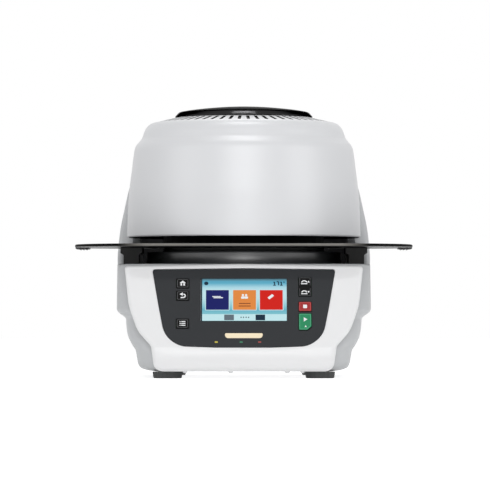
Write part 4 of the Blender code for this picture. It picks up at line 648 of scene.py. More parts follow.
# %% Base housing
FRONT_TOP_Y, DECK_Z, BASE_Z = -161.2 * MM, 132.5 * MM, 8.0 * MM
TILT, CHIN_Z, CHIN_RETURN = math.radians(28.0), 37.4 * MM, 3.0 * MM
FRAME_DEPTH, REAR_Y, HOUSING_WALL = 16.0 * MM, 215.0 * MM, 3.0 * MM
CORNER_STEPS = 14


def front_y(z):
    """Depth of the front at a height: a plane above the chin, a parabola below it.

    Below the chin the surface leaves the plane with the same slope and comes back
    by a small amount at the bottom edge.
    """
    z = np.asarray(z, float)
    slope = math.tan(TILT)
    plane = FRONT_TOP_Y - (DECK_Z - z) * slope
    drop = CHIN_Z - BASE_Z
    share = np.clip((CHIN_Z - z) / drop, 0.0, 1.0)
    chin = FRONT_TOP_Y - (DECK_Z - CHIN_Z) * slope
    rolled = chin - slope * drop * share + (slope * drop + CHIN_RETURN) * share**2
    return np.where(z >= CHIN_Z, plane, rolled)


def plans(z, half, front, rear, front_corner, rear_corner, narrowing=0.0):
    """Round-cornered plans, one for each height, as a grid of points.

    The right side is a quarter circle in front and one behind. Their centres lie
    one radius inside the sides, and the front one also by the narrowing. The left
    side is the right one mirrored and run backwards.
    """
    z, half, front = (np.asarray(v, float).reshape(-1, 1) for v in (z, half, front))
    rear = np.broadcast_to(np.asarray(rear, float).reshape(-1, 1), z.shape)
    turn = np.linspace(0.0, math.pi / 2, CORNER_STEPS)
    rising, falling = 1 - np.cos(turn), 1 - np.sin(turn)
    x = np.hstack([half - narrowing - front_corner * falling, half - rear_corner * rising])
    y = np.hstack([front + front_corner * rising, rear - rear_corner * falling])
    x, y = np.hstack([x, -x[:, ::-1]]), np.hstack([y, y[:, ::-1]])
    return np.stack([x, y, np.broadcast_to(z, x.shape)], axis=-1)


SIDE_LINE = np.array([
    (8.0, 106.0), (9.2, 115.0), (11.7, 122.4), (16.0, 125.7), (22.3, 127.0), (30.4, 128.4), (33.4, 129.4),
    (36.9, 131.8), (41.4, 134.5), (46.2, 136.8), (53.2, 138.8), (62.0, 140.0), (69.0, 140.7), (72.2, 143.9),
    (75.6, 148.6), (79.0, 151.0), (83.0, 151.4), (95.0, 151.4), (115.0, 151.4), (129.4, 151.4),
    (131.6, 151.2), (132.5, 150.4),
]) * MM
HOUSING_HALF, SEAT_GAP = 151.4 * MM, 0.3 * MM
FRONT_CORNER, REAR_CORNER, NARROWING = 34.0 * MM, 45.0 * MM, 3.5 * MM
side_line = smooth_line(SIDE_LINE, 4)
z, half = side_line[:, 0], np.minimum(side_line[:, 1], HOUSING_HALF)
seat = front_y(z) + FRAME_DEPTH + SEAT_GAP
shell_out = plans(z, half, seat, REAR_Y, FRONT_CORNER, REAR_CORNER, NARROWING)
z, half, seat = z[::4], half[::4] - HOUSING_WALL, seat[::4] + HOUSING_WALL
inner_corners = (FRONT_CORNER - HOUSING_WALL, REAR_CORNER - HOUSING_WALL)
shell_in = plans(z, half, seat, REAR_Y - HOUSING_WALL, *inner_corners, NARROWING)
loops = np.concatenate([shell_out, shell_in[::-1]])
housing = ring_of_loops("base_housing_moulded", loops, SIDE_GREY, "base")
cut_away(housing, cutter_box("panel_window", (-100.0, -240.0, 40.4), (100.0, -110.0, 126.5)), "base")
cut_away(housing, cutter_box("rear_window", (-74.0, 205.0, 31.0), (74.0, 225.0, 101.0)), "base")
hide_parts("base_housing")
print("base housing points:", len(housing.data.vertices))

# %% [markdown]
# ## The rear housing
# Behind the head stands the housing of the hinge: two cheeks and a back, rounded
# at the top and open towards the head, which swings back into it. Its outside is
# a stack of plans like that of the base. The room for the head is then cut out
# by a cylinder, a little wider than the head, and the hinge's well by a block.
# The well's inside is painted dark grey as shade, so nothing pale shows through the gap under the head.

# %% Rear housing
def soft_edge(item, width, segments, least_turn):
    """Round the edges where a surface turns by more than an angle in degrees."""
    rounding = item.modifiers.new("soft_edge", "BEVEL")
    rounding.width = width
    rounding.segments = segments
    rounding.limit_method = "ANGLE"
    rounding.angle_limit = math.radians(least_turn)


REAR_LINE = np.array([
    (132.8, 151.4, 20.0, 215.0), (145.4, 151.4, 22.2, 214.8), (166.5, 149.6, 25.7, 214.0),
    (183.3, 147.2, 28.8, 212.8), (198.0, 144.1, 32.3, 211.2), (211.7, 141.3, 36.7, 208.5),
    (223.3, 138.8, 42.4, 204.9), (230.6, 136.6, 48.6, 200.8), (235.4, 133.5, 55.6, 196.3),
    (238.0, 129.0, 64.0, 191.0),
]) * MM
CHEEK_CORNER, HEAD_ROOM, ROOM_Y, ROOM_STEPS = 6.0 * MM, 144.4, -30.0, 128
ROOM_LEVELS = (125.0, 250.0)
loops = plans(*smooth_line(REAR_LINE, 4).T, CHEEK_CORNER, REAR_CORNER)
rear = stack_of_loops("rear_housing_moulded", loops, SIDE_GREY, "base")
turn = np.linspace(0.0, math.tau, ROOM_STEPS, endpoint=False)
sweep = np.column_stack([HEAD_ROOM * np.cos(turn), ROOM_Y + HEAD_ROOM * np.sin(turn)]) * MM
loops = [np.column_stack([sweep, np.full(ROOM_STEPS, level * MM)]) for level in ROOM_LEVELS]
cut_away(rear, stack_of_loops("head_room", loops, SIDE_GREY, "base"), "base", SIDE_GREY)
# The walls the well's cut opens get the dark grey painted shade.
cut_away(rear, cutter_box("hinge_well", (-125.0, -30.0, 125.0), (125.0, 182.0, 250.0)), "base", WELL_SHADE_GREY)
soft_edge(rear, 0.7 * MM, 3, 50.0)
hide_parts("rear_housing")
print("rear housing points:", len(rear.data.vertices))

# %% [markdown]
# ## Outlines with round corners
# The front frame, the fascia, the screen and the keys all start from a polygon
# whose corners are rounded by arcs that touch both sides.

# %% Outline helpers
def rounded_outline(corners, radii, steps=8):
    """Round each corner of a closed polygon with an arc that touches both its sides.

    With h half the corner's angle, the arc starts radius / tan h along each side,
    and its centre lies radius / sin h along the halving line.
    """
    corners = np.asarray(corners, float)
    radii = np.broadcast_to(np.asarray(radii, float), (len(corners),))[:, None]
    back = np.roll(corners, 1, axis=0) - corners
    ahead = np.roll(corners, -1, axis=0) - corners
    back /= np.linalg.norm(back, axis=1, keepdims=True)
    ahead /= np.linalg.norm(ahead, axis=1, keepdims=True)
    half = np.arccos(np.clip((back * ahead).sum(axis=1, keepdims=True), -1.0, 1.0)) / 2
    halving = back + ahead
    halving /= np.maximum(np.linalg.norm(halving, axis=1, keepdims=True), 1e-9)
    centre = corners + halving * radii / np.sin(half)
    start = corners + back * radii / np.tan(half) - centre
    end = corners + ahead * radii / np.tan(half) - centre
    sweep = np.arctan2(start[:, 0] * end[:, 1] - start[:, 1] * end[:, 0], (start * end).sum(axis=1))
    turn = sweep[:, None] * np.linspace(0.0, 1.0, steps + 1)
    x = start[:, :1] * np.cos(turn) - start[:, 1:] * np.sin(turn) + centre[:, :1]
    y = start[:, :1] * np.sin(turn) + start[:, 1:] * np.cos(turn) + centre[:, 1:]
    return np.stack([x, y], axis=-1).reshape(-1, 2)


def drawn_in(outline, distance):
    """Move a counter-clockwise outline inwards by a distance, square to its run."""
    run = np.roll(outline, -1, axis=0) - np.roll(outline, 1, axis=0)
    run /= np.maximum(np.linalg.norm(run, axis=1, keepdims=True), 1e-12)
    return outline + np.stack([-run[:, 1], run[:, 0]], axis=-1) * distance


def rounded_plan(points, radii, steps):
    """A polygon with rounded corners, given in millimetres, as metres."""
    return rounded_outline(points, radii, steps) * MM


def block_outline(x, up, width, height, corner=1.0, steps=5):
    """A rounded rectangle about (x, up), in millimetres, as metres."""
    w, h = width / 2, height / 2
    corners = [(x + w, up - h), (x + w, up + h), (x - w, up + h), (x - w, up - h)]
    return rounded_plan(corners, corner, steps)


def polygon(*points):
    """Corner points in millimetres as an outline in metres."""
    return np.array(points, float) * MM


def oblong(left, low, right, high):
    """A rectangle with sharp corners, in millimetres, as an outline in metres."""
    return polygon((left, low), (right, low), (right, high), (left, high))


# %% [markdown]
# ## The front frame
# The white frame is one moulding that leans back by 28 degrees and rolls under
# at the chin. Its cross-section runs from the back edge over a rounded corner,
# across the face and down into the pocket that holds the fascia. The same run of
# loops is drawn round the whole outline, and neighbouring loops are joined.

# %% Front frame
def standing(outline, depth):
    """Stand an (x, z) outline on the front surface, a depth behind it."""
    return np.column_stack([outline[:, 0], front_y(outline[:, 1]) + depth, outline[:, 1]])


def mirrored_outline(right, radii, steps):
    """Close the right half of a symmetrical outline, listed bottom to top centre."""
    right = np.asarray(right, float)
    left = right[-2::-1] * np.array([-1.0, 1.0])
    return rounded_outline(np.vstack([right, left]), list(radii) + list(radii[-2::-1]), steps)


FRAME_HALF, FRAME_TALL = 138.3 * MM, DECK_Z - BASE_Z
frame_edge = mirrored_outline([
    (FRAME_HALF * 0.742, BASE_Z), (FRAME_HALF * 0.772, CHIN_Z),
    (FRAME_HALF * 0.884, BASE_Z + FRAME_TALL * 0.372), (FRAME_HALF * 0.962, BASE_Z + FRAME_TALL * 0.610),
    (FRAME_HALF, DECK_Z - 2.4 * MM), (0.0, DECK_Z),
], np.array([11.0, 8.0, 40.0, 60.0, 4.0, 600.0]) * MM, 10)
POCKET_HALF, POCKET_TOP, POCKET_LOW = 106.2 * MM, DECK_Z - 5.2 * MM, 37.4 * MM
POCKET_TALL = POCKET_TOP - POCKET_LOW
pocket_edge = mirrored_outline([
    (POCKET_HALF * 0.30, POCKET_LOW - 1.9 * MM), (POCKET_HALF * 0.700, POCKET_LOW - 0.4 * MM),
    (POCKET_HALF * 0.862, POCKET_LOW + POCKET_TALL * 0.135),
    (POCKET_HALF * 0.922, POCKET_LOW + POCKET_TALL * 0.480),
    (POCKET_HALF, POCKET_TOP - 1.2 * MM), (0.0, POCKET_TOP),
], np.array([160.0, 29.0, 28.0, 90.0, 3.0, 600.0]) * MM, 10)
LIP, POCKET_DEPTH, LEDGE, LEDGE_BACK, FRAME_WALL = np.array([0.9, 3.24, 4.0, 6.24, 3.0]) * MM
rounding = np.interp(frame_edge[:, 1], [DECK_Z - 9.0 * MM, DECK_Z - 1.5 * MM], [5.0 * MM, 2.2 * MM])
turn = np.linspace(0.0, math.pi / 2, 7)
loops = [standing(frame_edge, FRAME_DEPTH)]
for a in turn:
    inwards, depth = rounding * (1 - math.cos(a)), rounding * (1 - math.sin(a))
    loops.append(standing(drawn_in(frame_edge, inwards[:, None]), depth))
crest, lip = drawn_in(frame_edge, rounding[:, None]), drawn_in(pocket_edge, -LIP)
loops += [standing(crest + (lip - crest) * share, 0.0) for share in (0.2, 0.4, 0.6, 0.8, 1.0)]
for a in turn[2::2]:
    loops.append(standing(drawn_in(pocket_edge, -LIP * (1 - math.sin(a))), LIP * (1 - math.cos(a))))
for inwards, depth in ((0.0, POCKET_DEPTH), (LEDGE, POCKET_DEPTH), (LEDGE, LEDGE_BACK)):
    loops.append(standing(drawn_in(pocket_edge, inwards), depth))
for depth in (LEDGE_BACK, FRAME_DEPTH):
    loops.append(standing(drawn_in(frame_edge, FRAME_WALL), depth))
front = ring_of_loops("front_frame_moulded", loops, WHITE, "base")
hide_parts("front_bezel")
print("front frame loops:", len(loops), "of", len(loops[0]), "points")

# %% [markdown]
# ## Plates in the plane of the panel
# Everything on the panel is described in the panel's own plane: x to the right,
# up along the slope, and a height out of the fascia. One formula carries such a
# point into space, and one helper makes a thin plate with softened edges.

# %% Panel helpers
PANEL_Z = (POCKET_TOP + POCKET_LOW) / 2
PANEL_Y = float(front_y(PANEL_Z))
SIN, COS = math.sin(TILT), math.cos(TILT)
FASCIA_DEPTH = 0.4 * MM


def in_panel(plan, out):
    """Carry (x, up) points, standing out from the fascia's face, into space.

    Going up moves a point back by sin 28 and up by cos 28; standing out moves it
    forward by cos 28 and up by sin 28.
    """
    depth = FASCIA_DEPTH - out
    y = PANEL_Y + depth * COS + plan[:, 1] * SIN
    z = PANEL_Z - depth * SIN + plan[:, 1] * COS
    return np.column_stack([plan[:, 0], y, z])


def panel_plate(name, plan, low, high, material, body, edge=0.15):
    """A plate between two heights over the fascia, in millimetres, with soft edges.

    Each loop is the outline, drawn in by a length, at a height. Two make the
    wall, the third softens the edge, and the last two lie close together at the
    top, so that the flat face is shaded flat.
    """
    edge = min(edge, (high - low) * 0.8)
    bend = edge * 0.35
    steps = ((0.0, low), (0.0, high - edge), (bend, high - bend), (edge, high), (edge * 1.3, high))
    loops = [in_panel(drawn_in(plan, inwards * MM), height * MM) for inwards, height in steps]
    return stack_of_loops(name, loops, material, body)


def bent_bar(x, up, radius, start, end, width, steps=14):
    """The outer arc one way and the inner arc back, in millimetres and degrees, as metres."""
    turn = np.radians(np.linspace(start, end, steps))[:, None]
    circle = np.hstack([np.cos(turn), np.sin(turn)])
    outer = (x, up) + (radius + width / 2) * circle
    inner = (x, up) + (radius - width / 2) * circle
    return np.vstack([outer, inner[::-1]]) * MM


# %% [markdown]
# ## The keys
# The keys lie in two columns beside the screen. Each is a black cap that stands
# a little proud and moves inwards by half a millimetre. Those on the left have a
# thin grey line inside their edge, the two for the head share one line, and stop
# and start have a red and a green face. The signs on them are the plain ones that
# such panels share: a house, a return arrow, a list, arrows for raising and
# lowering the head, a square for stop and a triangle for start.

# %% Key helpers
KEY_X, KEY_LOW, KEY_TOP, KEY_WIDTH, FACE_WIDTH, LINE_SPAN = 70.6, -1.4, 0.6, 15.2, 14.2, 12.4
PRINT_LOW, HOLE_GAP = KEY_TOP - 0.05, 0.25 * MM
KEY_FACE = ((1800.0, 0.05), (60.0, 0.05))
KEY_LINE = finish(
    "key_line_print", (0.12, 0.125, 0.13), 0.45, 0.0, (1500.0, 0.02), (60.0, 0.04), specular=0.3)
GREEN = finish("green_key", (0.015, 0.24, 0.10), 0.40, 0.0, *KEY_FACE, specular=0.3)
GREEN_LINE = finish("green_key_line", (0.10, 0.42, 0.24), 0.40, 0.0, *KEY_FACE, specular=0.3)
RED = finish("red_key", (0.34, 0.018, 0.020), 0.40, 0.0, *KEY_FACE, specular=0.3)
RED_LINE = finish("red_key_line", (0.52, 0.09, 0.09), 0.40, 0.0, *KEY_FACE, specular=0.3)


def key_outline(side, up, width, height, cut=0.0, corner=1.0):
    """A key's outline, in millimetres, as metres; a cut takes off its lower right corner."""
    w, h, x = width / 2, height / 2, side * KEY_X
    corners = [(x + w, up - h + cut), (x + w, up + h), (x - w, up + h), (x - w, up - h)]
    if cut:
        corners.append((x + w - cut, up - h))
    return rounded_plan(corners, corner, 5)


def thin_frame(name, plan, width, material, body, low, high):
    """A line that follows an outline on its inside, as a closed ring of four loops."""
    inside = drawn_in(plan, width * MM)
    steps = ((plan, low), (plan, high), (inside, high), (inside, low))
    loops = [in_panel(outline, height * MM) for outline, height in steps]
    ring_of_loops(name, loops, material, body)


def sign(name, plan, body, rise=0.06, material=PRINT):
    """A printed sign, which stands out of its key by the rise, in millimetres."""
    panel_plate(name, plan, PRINT_LOW, KEY_TOP + rise, material, body, edge=0.02)


# %% Key caps
START_CUT = 4.6
holes = []
for node, side, up, height in (
    ("home_key", -1, 30.9, 13.0), ("back_key", -1, 14.8, 13.0), ("program_key", -1, -21.7, 13.0),
    ("head_up_key", 1, 32.9, 12.0), ("head_down_key", 1, 19.7, 12.0),
    ("stop_key", 1, 0.5, 13.0), ("start_key", 1, -19.4, 22.2),
):
    body = node.replace("_key", "_button")
    plan = key_outline(side, up, KEY_WIDTH, height, START_CUT if node == "start_key" else 0.0, 1.2)
    holes.append(drawn_in(plan, -HOLE_GAP))
    cap = panel_plate(node + "_cap", plan, KEY_LOW, KEY_TOP, KEY_BLACK, body, 0.35)
    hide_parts(node)
    if side < 0:
        plan = key_outline(side, up, LINE_SPAN, height - 2.8, 0.0, 1.2)
        thin_frame(node + "_line", plan, 0.4, KEY_LINE, body, PRINT_LOW, KEY_TOP + 0.03)
for node, up, height, cut, face, line in (
    ("stop", 0.5, 11.8, 0.0, RED, RED_LINE), ("start", -19.4, 21.0, START_CUT, GREEN, GREEN_LINE),
):
    plan = key_outline(1, up, FACE_WIDTH, height, cut, 1.0)
    panel_plate(node + "_key_face", plan, PRINT_LOW, KEY_TOP + 0.05, face, node + "_button", edge=0.03)
    plan = key_outline(1, up, FACE_WIDTH - 1.4, height - 1.4, cut, 0.9)
    thin_frame(node + "_key_line", plan, 0.5, line, node + "_button", KEY_TOP, KEY_TOP + 0.08)
print("keys:", len(holes))

# %% Signs on the keys
x = -KEY_X
sign("home_sign_roof", polygon((x - 3.6, 31.2), (x + 3.6, 31.2), (x, 34.4)), "home_button")
sign("home_sign_wall_left", oblong(x - 2.6, 27.8, x - 0.7, 30.9), "home_button")
sign("home_sign_wall_right", oblong(x + 0.7, 27.8, x + 2.6, 30.9), "home_button")
sign("back_sign_bow", bent_bar(x + 0.8, 14.4, 2.2, -90, 90, 1.4), "back_button")
sign("back_sign_foot", oblong(x - 2.4, 11.5, x + 0.8, 12.9), "back_button")
sign("back_sign_arrow", polygon((x - 3.6, 16.6), (x + 0.2, 14.3), (x + 0.2, 18.9)), "back_button")
for row in range(3):
    up = -19.3 - 2.4 * row
    sign("list_sign_line_%d" % row, block_outline(x + 1.0, up, 4.8, 1.2, 0.3), "program_button")
    sign("list_sign_dot_%d" % row, block_outline(x - 2.7, up, 1.3, 1.3, 0.5), "program_button")
x = KEY_X
for node, up, way in (("head_up", 32.9, 1.0), ("head_down", 19.7, -1.0)):
    sign(node + "_sign_lid", bent_bar(x - 0.8, up - 1.9, 3.2, 20, 160, 1.3), node + "_button")
    sign(node + "_sign_base", oblong(x - 4.4, up - 3.2, x + 2.8, up - 1.9), node + "_button")
    tip = [(x + 3.0, up - 1.0 * way), (x + 5.4, up - 1.0 * way), (x + 4.2, up + 1.8 * way)]
    sign(node + "_sign_arrow", polygon(*(tip if way > 0 else tip[::-1])), node + "_button")
sign("stop_sign", block_outline(x, 0.5, 4.6, 4.6, 0.8), "stop_button", 0.12)
sign("start_sign", polygon((x - 1.6, -19.2), (x + 2.6, -16.4), (x - 1.6, -13.6)), "start_button", 0.12)
sign("start_sign_mark", polygon((x - 0.7, -26.4), (x + 1.7, -26.4), (x + 0.5, -24.0)), "start_button", 0.12)

# %% Lines round the pair of head keys
for key, up, end in (("head_up", 33.2, 38.0), ("head_down", 19.4, 14.6)):
    for word, x in (("left", KEY_X - 6.0), ("right", KEY_X + 6.0)):
        plan = block_outline(x, up, 0.4, abs(end - up) * 2, 0.1)
        sign("%s_line_%s" % (key, word), plan, key + "_button", 0.03, KEY_LINE)
    plan = block_outline(KEY_X, end, LINE_SPAN, 0.4, 0.1)
    sign(key + "_line_end", plan, key + "_button", 0.03, KEY_LINE)
bridge = block_outline(KEY_X, 26.3, KEY_WIDTH, 1.7, 0.1)
panel_plate("head_key_bridge", bridge, 0.0, 0.4, KEY_BLACK, "base", edge=0.05)
pair = [item for item in bpy.data.objects if item.name.startswith(("head_up_line", "head_down_line"))]
print("lines round the pair:", len(pair))

# %% [markdown]
# ## The fascia
# The fascia is a dark film on a plate that fills the pocket of the frame. Its
# lower corners sweep round in wide arcs. The holes for the keys and the light bar
# are the outlines of those pieces, a quarter of a millimetre wider, and the
# screen has its own.

# %% Fascia
SCREEN_UP, FASCIA_LOW = 9.5, -2.6
BAR_CORNERS = [(20.4, -40.3), (22.3, -34.0), (-22.3, -34.0), (-20.4, -40.3)]
BAR_PLAN = rounded_plan(BAR_CORNERS, (3.4, 1.6, 1.6, 3.4), 6)
holes += [drawn_in(BAR_PLAN, -HOLE_GAP), block_outline(0.0, SCREEN_UP, 99.5, 56.0, 0.8)]
rim = drawn_in(pocket_edge, HOLE_GAP)
rim = np.column_stack([rim[:, 0], (rim[:, 1] - PANEL_Z) / COS])
fascia = panel_plate("fascia_film", rim, FASCIA_LOW, 0.0, PANEL, "base", 0.25)
fascia.data.shade_flat()
for number, hole in enumerate(holes):
    cutter = panel_plate("fascia_hole_%d" % number, hole, -4.0, 2.0, PANEL, "base")
    cutter.data.shade_flat()
    cut_away(fascia, cutter, "base")
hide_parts("control_fascia")
print("holes in the fascia:", len(holes))

# %% [markdown]
# ## The screen
# The touch screen shows a plain menu: a header with a temperature in plain
# figures, three large tiles, and a bar below with page dots. Each field is a
# film a few hundredths of a millimetre over the glass that gives its own light.
# The sky behind the tiles is one field whose colour runs with its height.

# %% Screen colours
NAVY = glowing("lit_navy", (0.010, 0.014, 0.13))
ORANGE = glowing("lit_orange", (0.78, 0.26, 0.06))
CRIMSON = glowing("lit_crimson", (0.66, 0.016, 0.010))
BAR_BLUE = glowing("lit_pale_blue", (0.56, 0.82, 0.86))
LIT_WHITE = glowing("lit_white", (0.86, 0.90, 0.92))
TILE_EDGE = glowing("lit_tile_edge", (0.56, 0.78, 0.84))
MIDDLE_GREY = glowing("lit_grey", (0.13, 0.17, 0.20))
DARK_GREY = glowing("lit_dark_grey", (0.010, 0.030, 0.055))
TEXT_BROWN = glowing("lit_brown", (0.22, 0.06, 0.02))


def place_along(tree, axis):
    """How far a point of a piece lies along one axis of the piece."""
    place = add_node(tree, "ShaderNodeTexCoord")
    split = add_node(tree, "ShaderNodeSeparateXYZ")
    tree.links.new(place.outputs["Object"], split.inputs[0])
    return split.outputs[axis]


def sky_finish(stops, low_up, high_up):
    """A glowing colour that follows the height: share = (z - z low) / (z high - z low).

    Each stop is (share, colour); the heights are those of two places in the
    panel's plane, in millimetres along its slope.
    """
    made = glowing("lit_sky", (0.3, 0.6, 0.7))
    tree = made.node_tree
    low, high = (PANEL_Z + up * MM * COS for up in (low_up, high_up))
    share = add_node(tree, "ShaderNodeMapRange", {"From Min": low, "From Max": high})
    tree.links.new(place_along(tree, "Z"), share.inputs["Value"])
    ramp = add_node(tree, "ShaderNodeValToRGB")
    for number, (position, colour) in enumerate(stops):
        stop = ramp.color_ramp.elements[number] if number < 2 else ramp.color_ramp.elements.new(position)
        stop.position = position
        stop.color = (*colour, 1.0)
    tree.links.new(share.outputs["Result"], ramp.inputs["Fac"])
    tree.links.new(ramp.outputs["Color"], tree.nodes["Principled BSDF"].inputs["Emission Color"])
    return made


SKY = sky_finish((
    (0.0, (0.20, 0.55, 0.62)), (0.13, (0.09, 0.42, 0.54)), (0.24, (0.28, 0.62, 0.70)),
    (0.45, (0.62, 0.86, 0.90)), (0.62, (0.66, 0.88, 0.92)), (0.74, (0.50, 0.78, 0.86)),
    (0.87, (0.035, 0.35, 0.53)), (0.93, (0.03, 0.30, 0.47)), (0.965, (0.004, 0.05, 0.09)),
), -10.0, 37.2)

# %% Screen fields
LAYER = 0.03


def screen_field(name, x, up, width, height, material, layer=1, corner=0.3):
    """A lit field; each layer lies three hundredths of a millimetre over the last."""
    plan = block_outline(x, up, width, height, corner, 4)
    panel_plate(name, plan, 0.0, LAYER * layer, material, "base", edge=0.01)


screen_field("screen_sky", 0.7, SCREEN_UP, 97.4, 55.0, SKY, 1, 0.4)
screen_field("screen_bottom_bar", 0.7, -13.6, 97.2, 8.6, BAR_BLUE, 2)
for name, x, material in (("left", -30.5, NAVY), ("middle", 0.85, ORANGE), ("right", 31.7, CRIMSON)):
    screen_field("screen_tile_frame_" + name, x, 9.3, 28.2, 27.4, TILE_EDGE, 2, 0.8)
    screen_field("screen_tile_" + name, x, 9.3, 26.4, 25.8, material, 3, 0.4)
screen_field("tile_left_line", -31.5, 13.8, 10.0, 1.0, LIT_WHITE, 4)
screen_field("tile_left_line_low", -29.5, 12.2, 11.0, 1.3, LIT_WHITE, 4)
for number, x in enumerate((-1.0, 2.7)):
    screen_field("tile_middle_head_%d" % number, x, 15.6, 2.6, 2.8, LIT_WHITE, 4, 1.2)
    screen_field("tile_middle_shoulders_%d" % number, x, 12.4, 4.4, 3.0, LIT_WHITE, 5, 1.2)
screen_field("tile_middle_text", 1.0, 4.7, 13.4, 1.1, TEXT_BROWN, 4)
screen_field("tile_middle_text_low", 1.0, 1.3, 14.0, 1.1, TEXT_BROWN, 4)
slab = rounded_plan([(29.4, 9.9), (34.9, 14.7), (32.8, 17.1), (27.3, 12.3)], 0.7, 4)
panel_plate("tile_right_slab", slab, 0.0, 0.12, LIT_WHITE, "base", edge=0.01)
screen_field("screen_tab_left", -17.0, -13.6, 11.2, 7.4, MIDDLE_GREY, 3)
screen_field("screen_tab_right", 19.0, -13.6, 11.0, 7.4, DARK_GREY, 3)
for dot in range(4):
    screen_field("page_dot_%d" % dot, -3.2 + 2.9 * dot, -13.4, 1.4, 1.5, DARK_GREY, 3, 0.6)
screen_field("header_mark", -43.4, 31.0, 4.8, 4.8, DARK_GREY, 2, 2.2)


def figure(name, bars, x, up, height):
    """One figure, made of some of seven bars.

    They are top, upper right, lower right, bottom, lower left, upper left, middle.
    """
    h, w, t = height / 2, height * 0.5, height * 0.27
    left, right = x - w / 2, x + w / 2
    places = [
        (x, up + height, w, t), (right, up + h * 1.5, t, h), (right, up + h * 0.5, t, h), (x, up, w, t),
        (left, up + h * 0.5, t, h), (left, up + h * 1.5, t, h), (x, up + h, w, t),
    ]
    for bar in bars:
        x_bar, up_bar, wide, tall = places[bar]
        screen_field("%s_bar_%d" % (name, bar), x_bar, up_bar, wide, tall, DARK_GREY, 2, 0.1)


figure("figure_hundreds", (1, 2), 34.4, 28.6, 4.6)
figure("figure_tens", (0, 1, 2), 39.0, 28.6, 4.6)
figure("figure_ones", (1, 2), 42.2, 28.6, 4.6)
for name, x in (("hundreds", 34.9), ("ones", 42.7)):
    screen_field("figure_%s_flag" % name, x, 32.6, 1.6, 1.2, DARK_GREY, 2, 0.1)
    screen_field("figure_%s_foot" % name, x + 0.6, 28.6, 3.2, 1.1, DARK_GREY, 2, 0.1)
thin_frame("degree_ring", block_outline(46.4, 32.6, 1.9, 1.9, 0.9), 0.5, DARK_GREY, "base", 0.0, 0.06)
fields = [item for item in bpy.data.objects if item.name.startswith(("screen_", "tile_", "figure_"))]
print("screen fields:", len(fields))

# %% [markdown]
# ## Light bar and legend
# The light bar is a cream diffuser, wider along its top, and three small squares
# under it explain its colours.

# %% Light bar and legend
AMBER = glowing("lit_amber_bar", (0.98, 0.84, 0.60))
bar = panel_plate("light_bar_diffuser", BAR_PLAN, -1.8, 0.6, AMBER, "base", 0.8)
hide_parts("status_light_bar")
LEGEND = (
    ("yellow", -31.6, (0.60, 0.50, 0.06)), ("green", -3.0, (0.03, 0.20, 0.10)),
    ("red", 18.1, (0.34, 0.05, 0.04)),
)
for name, x, colour in LEGEND:
    ink = finish("legend_" + name, colour, 0.4, 0.0, (1500.0, 0.02), (60.0, 0.04))
    square = block_outline(x, -45.6, 3.4, 1.9, 0.2)
    panel_plate("legend_square_" + name, square, 0.0, 0.05, ink, "base", edge=0.02)
print("legend squares:", len(LEGEND))

# %% [markdown]
# ## The cooling tray
# The tray is a thick black enamelled plate with a rounded edge. The edge's colour
# is painted light: a warm grey painted sheen along the straight front, fading into
# black painted shade towards the round corners. Both ends carry black grips, with
# three small ribs under each for the fingers.

# %% Tray
TRAY_TOP, TRAY_LOW, EDGE_SKIN_TOP, EDGE_SKIN_LOW = np.array([156.0, 152.6, 0.25, 0.6]) * MM
TRAY_HALF, TRAY_FRONT, TRAY_REAR, BAY_RADIUS = 198.5, -174.0, 12.0, 101.0
FRONT_ARC, REAR_ARC, EDGE_RADIUS, TRAY_MIDDLE = 90.0, 50.0, 1.7, 154.3


def painted_sheen_edge(bright, dark, near, far):
    """The edge's colour, a painted sheen in the middle that fades to painted shade at the ends.

    colour = bright + (dark - bright) x share, share = (|x| - near) / (far - near).
    """
    made = finish("worn_enamel_edge", bright, 0.60, 0.0, (1500.0, 0.10), (40.0, 0.10), 0.12, specular=0.04)
    tree = made.node_tree
    aside = add_node(tree, "ShaderNodeMath")
    aside.operation = "ABSOLUTE"
    share = add_node(tree, "ShaderNodeMapRange", {"From Min": near * MM, "From Max": far * MM})
    blend = add_node(tree, "ShaderNodeMix")
    blend.data_type = "RGBA"
    set_inputs(blend, {"A": (*bright, 1.0), "B": (*dark, 1.0)})
    tree.links.new(place_along(tree, "X"), aside.inputs[0])
    tree.links.new(aside.outputs[0], share.inputs["Value"])
    tree.links.new(share.outputs["Result"], blend.inputs["Factor"])
    tree.links.new(blend.outputs["Result"], tree.nodes["Principled BSDF"].inputs["Base Color"])
    return made


# Painted light: a warm grey sheen painted along the front edge, and painted shade that darkens it to black
# towards the ends.
EDGE_PAINTED_SHEEN = painted_sheen_edge((0.215, 0.208, 0.193), (0.002, 0.002, 0.002), 112.0, 145.0)


def arc_points(x, y, radius, start, end, steps):
    """Points on an arc, both ends kept; angles in degrees, sizes in millimetres."""
    turn = np.radians(np.linspace(start, end, steps + 1))
    return np.column_stack([x + radius * np.cos(turn), y + radius * np.sin(turn)])


def stacked(name, plan, levels, material, body):
    """A level plate of loops, with sizes in millimetres.

    Each level is how far the plan is drawn in there, and its height.
    """
    loops = [np.column_stack([drawn_in(plan, d * MM), np.full(len(plan), z * MM)]) for d, z in levels]
    return stack_of_loops(name, loops, material, body)


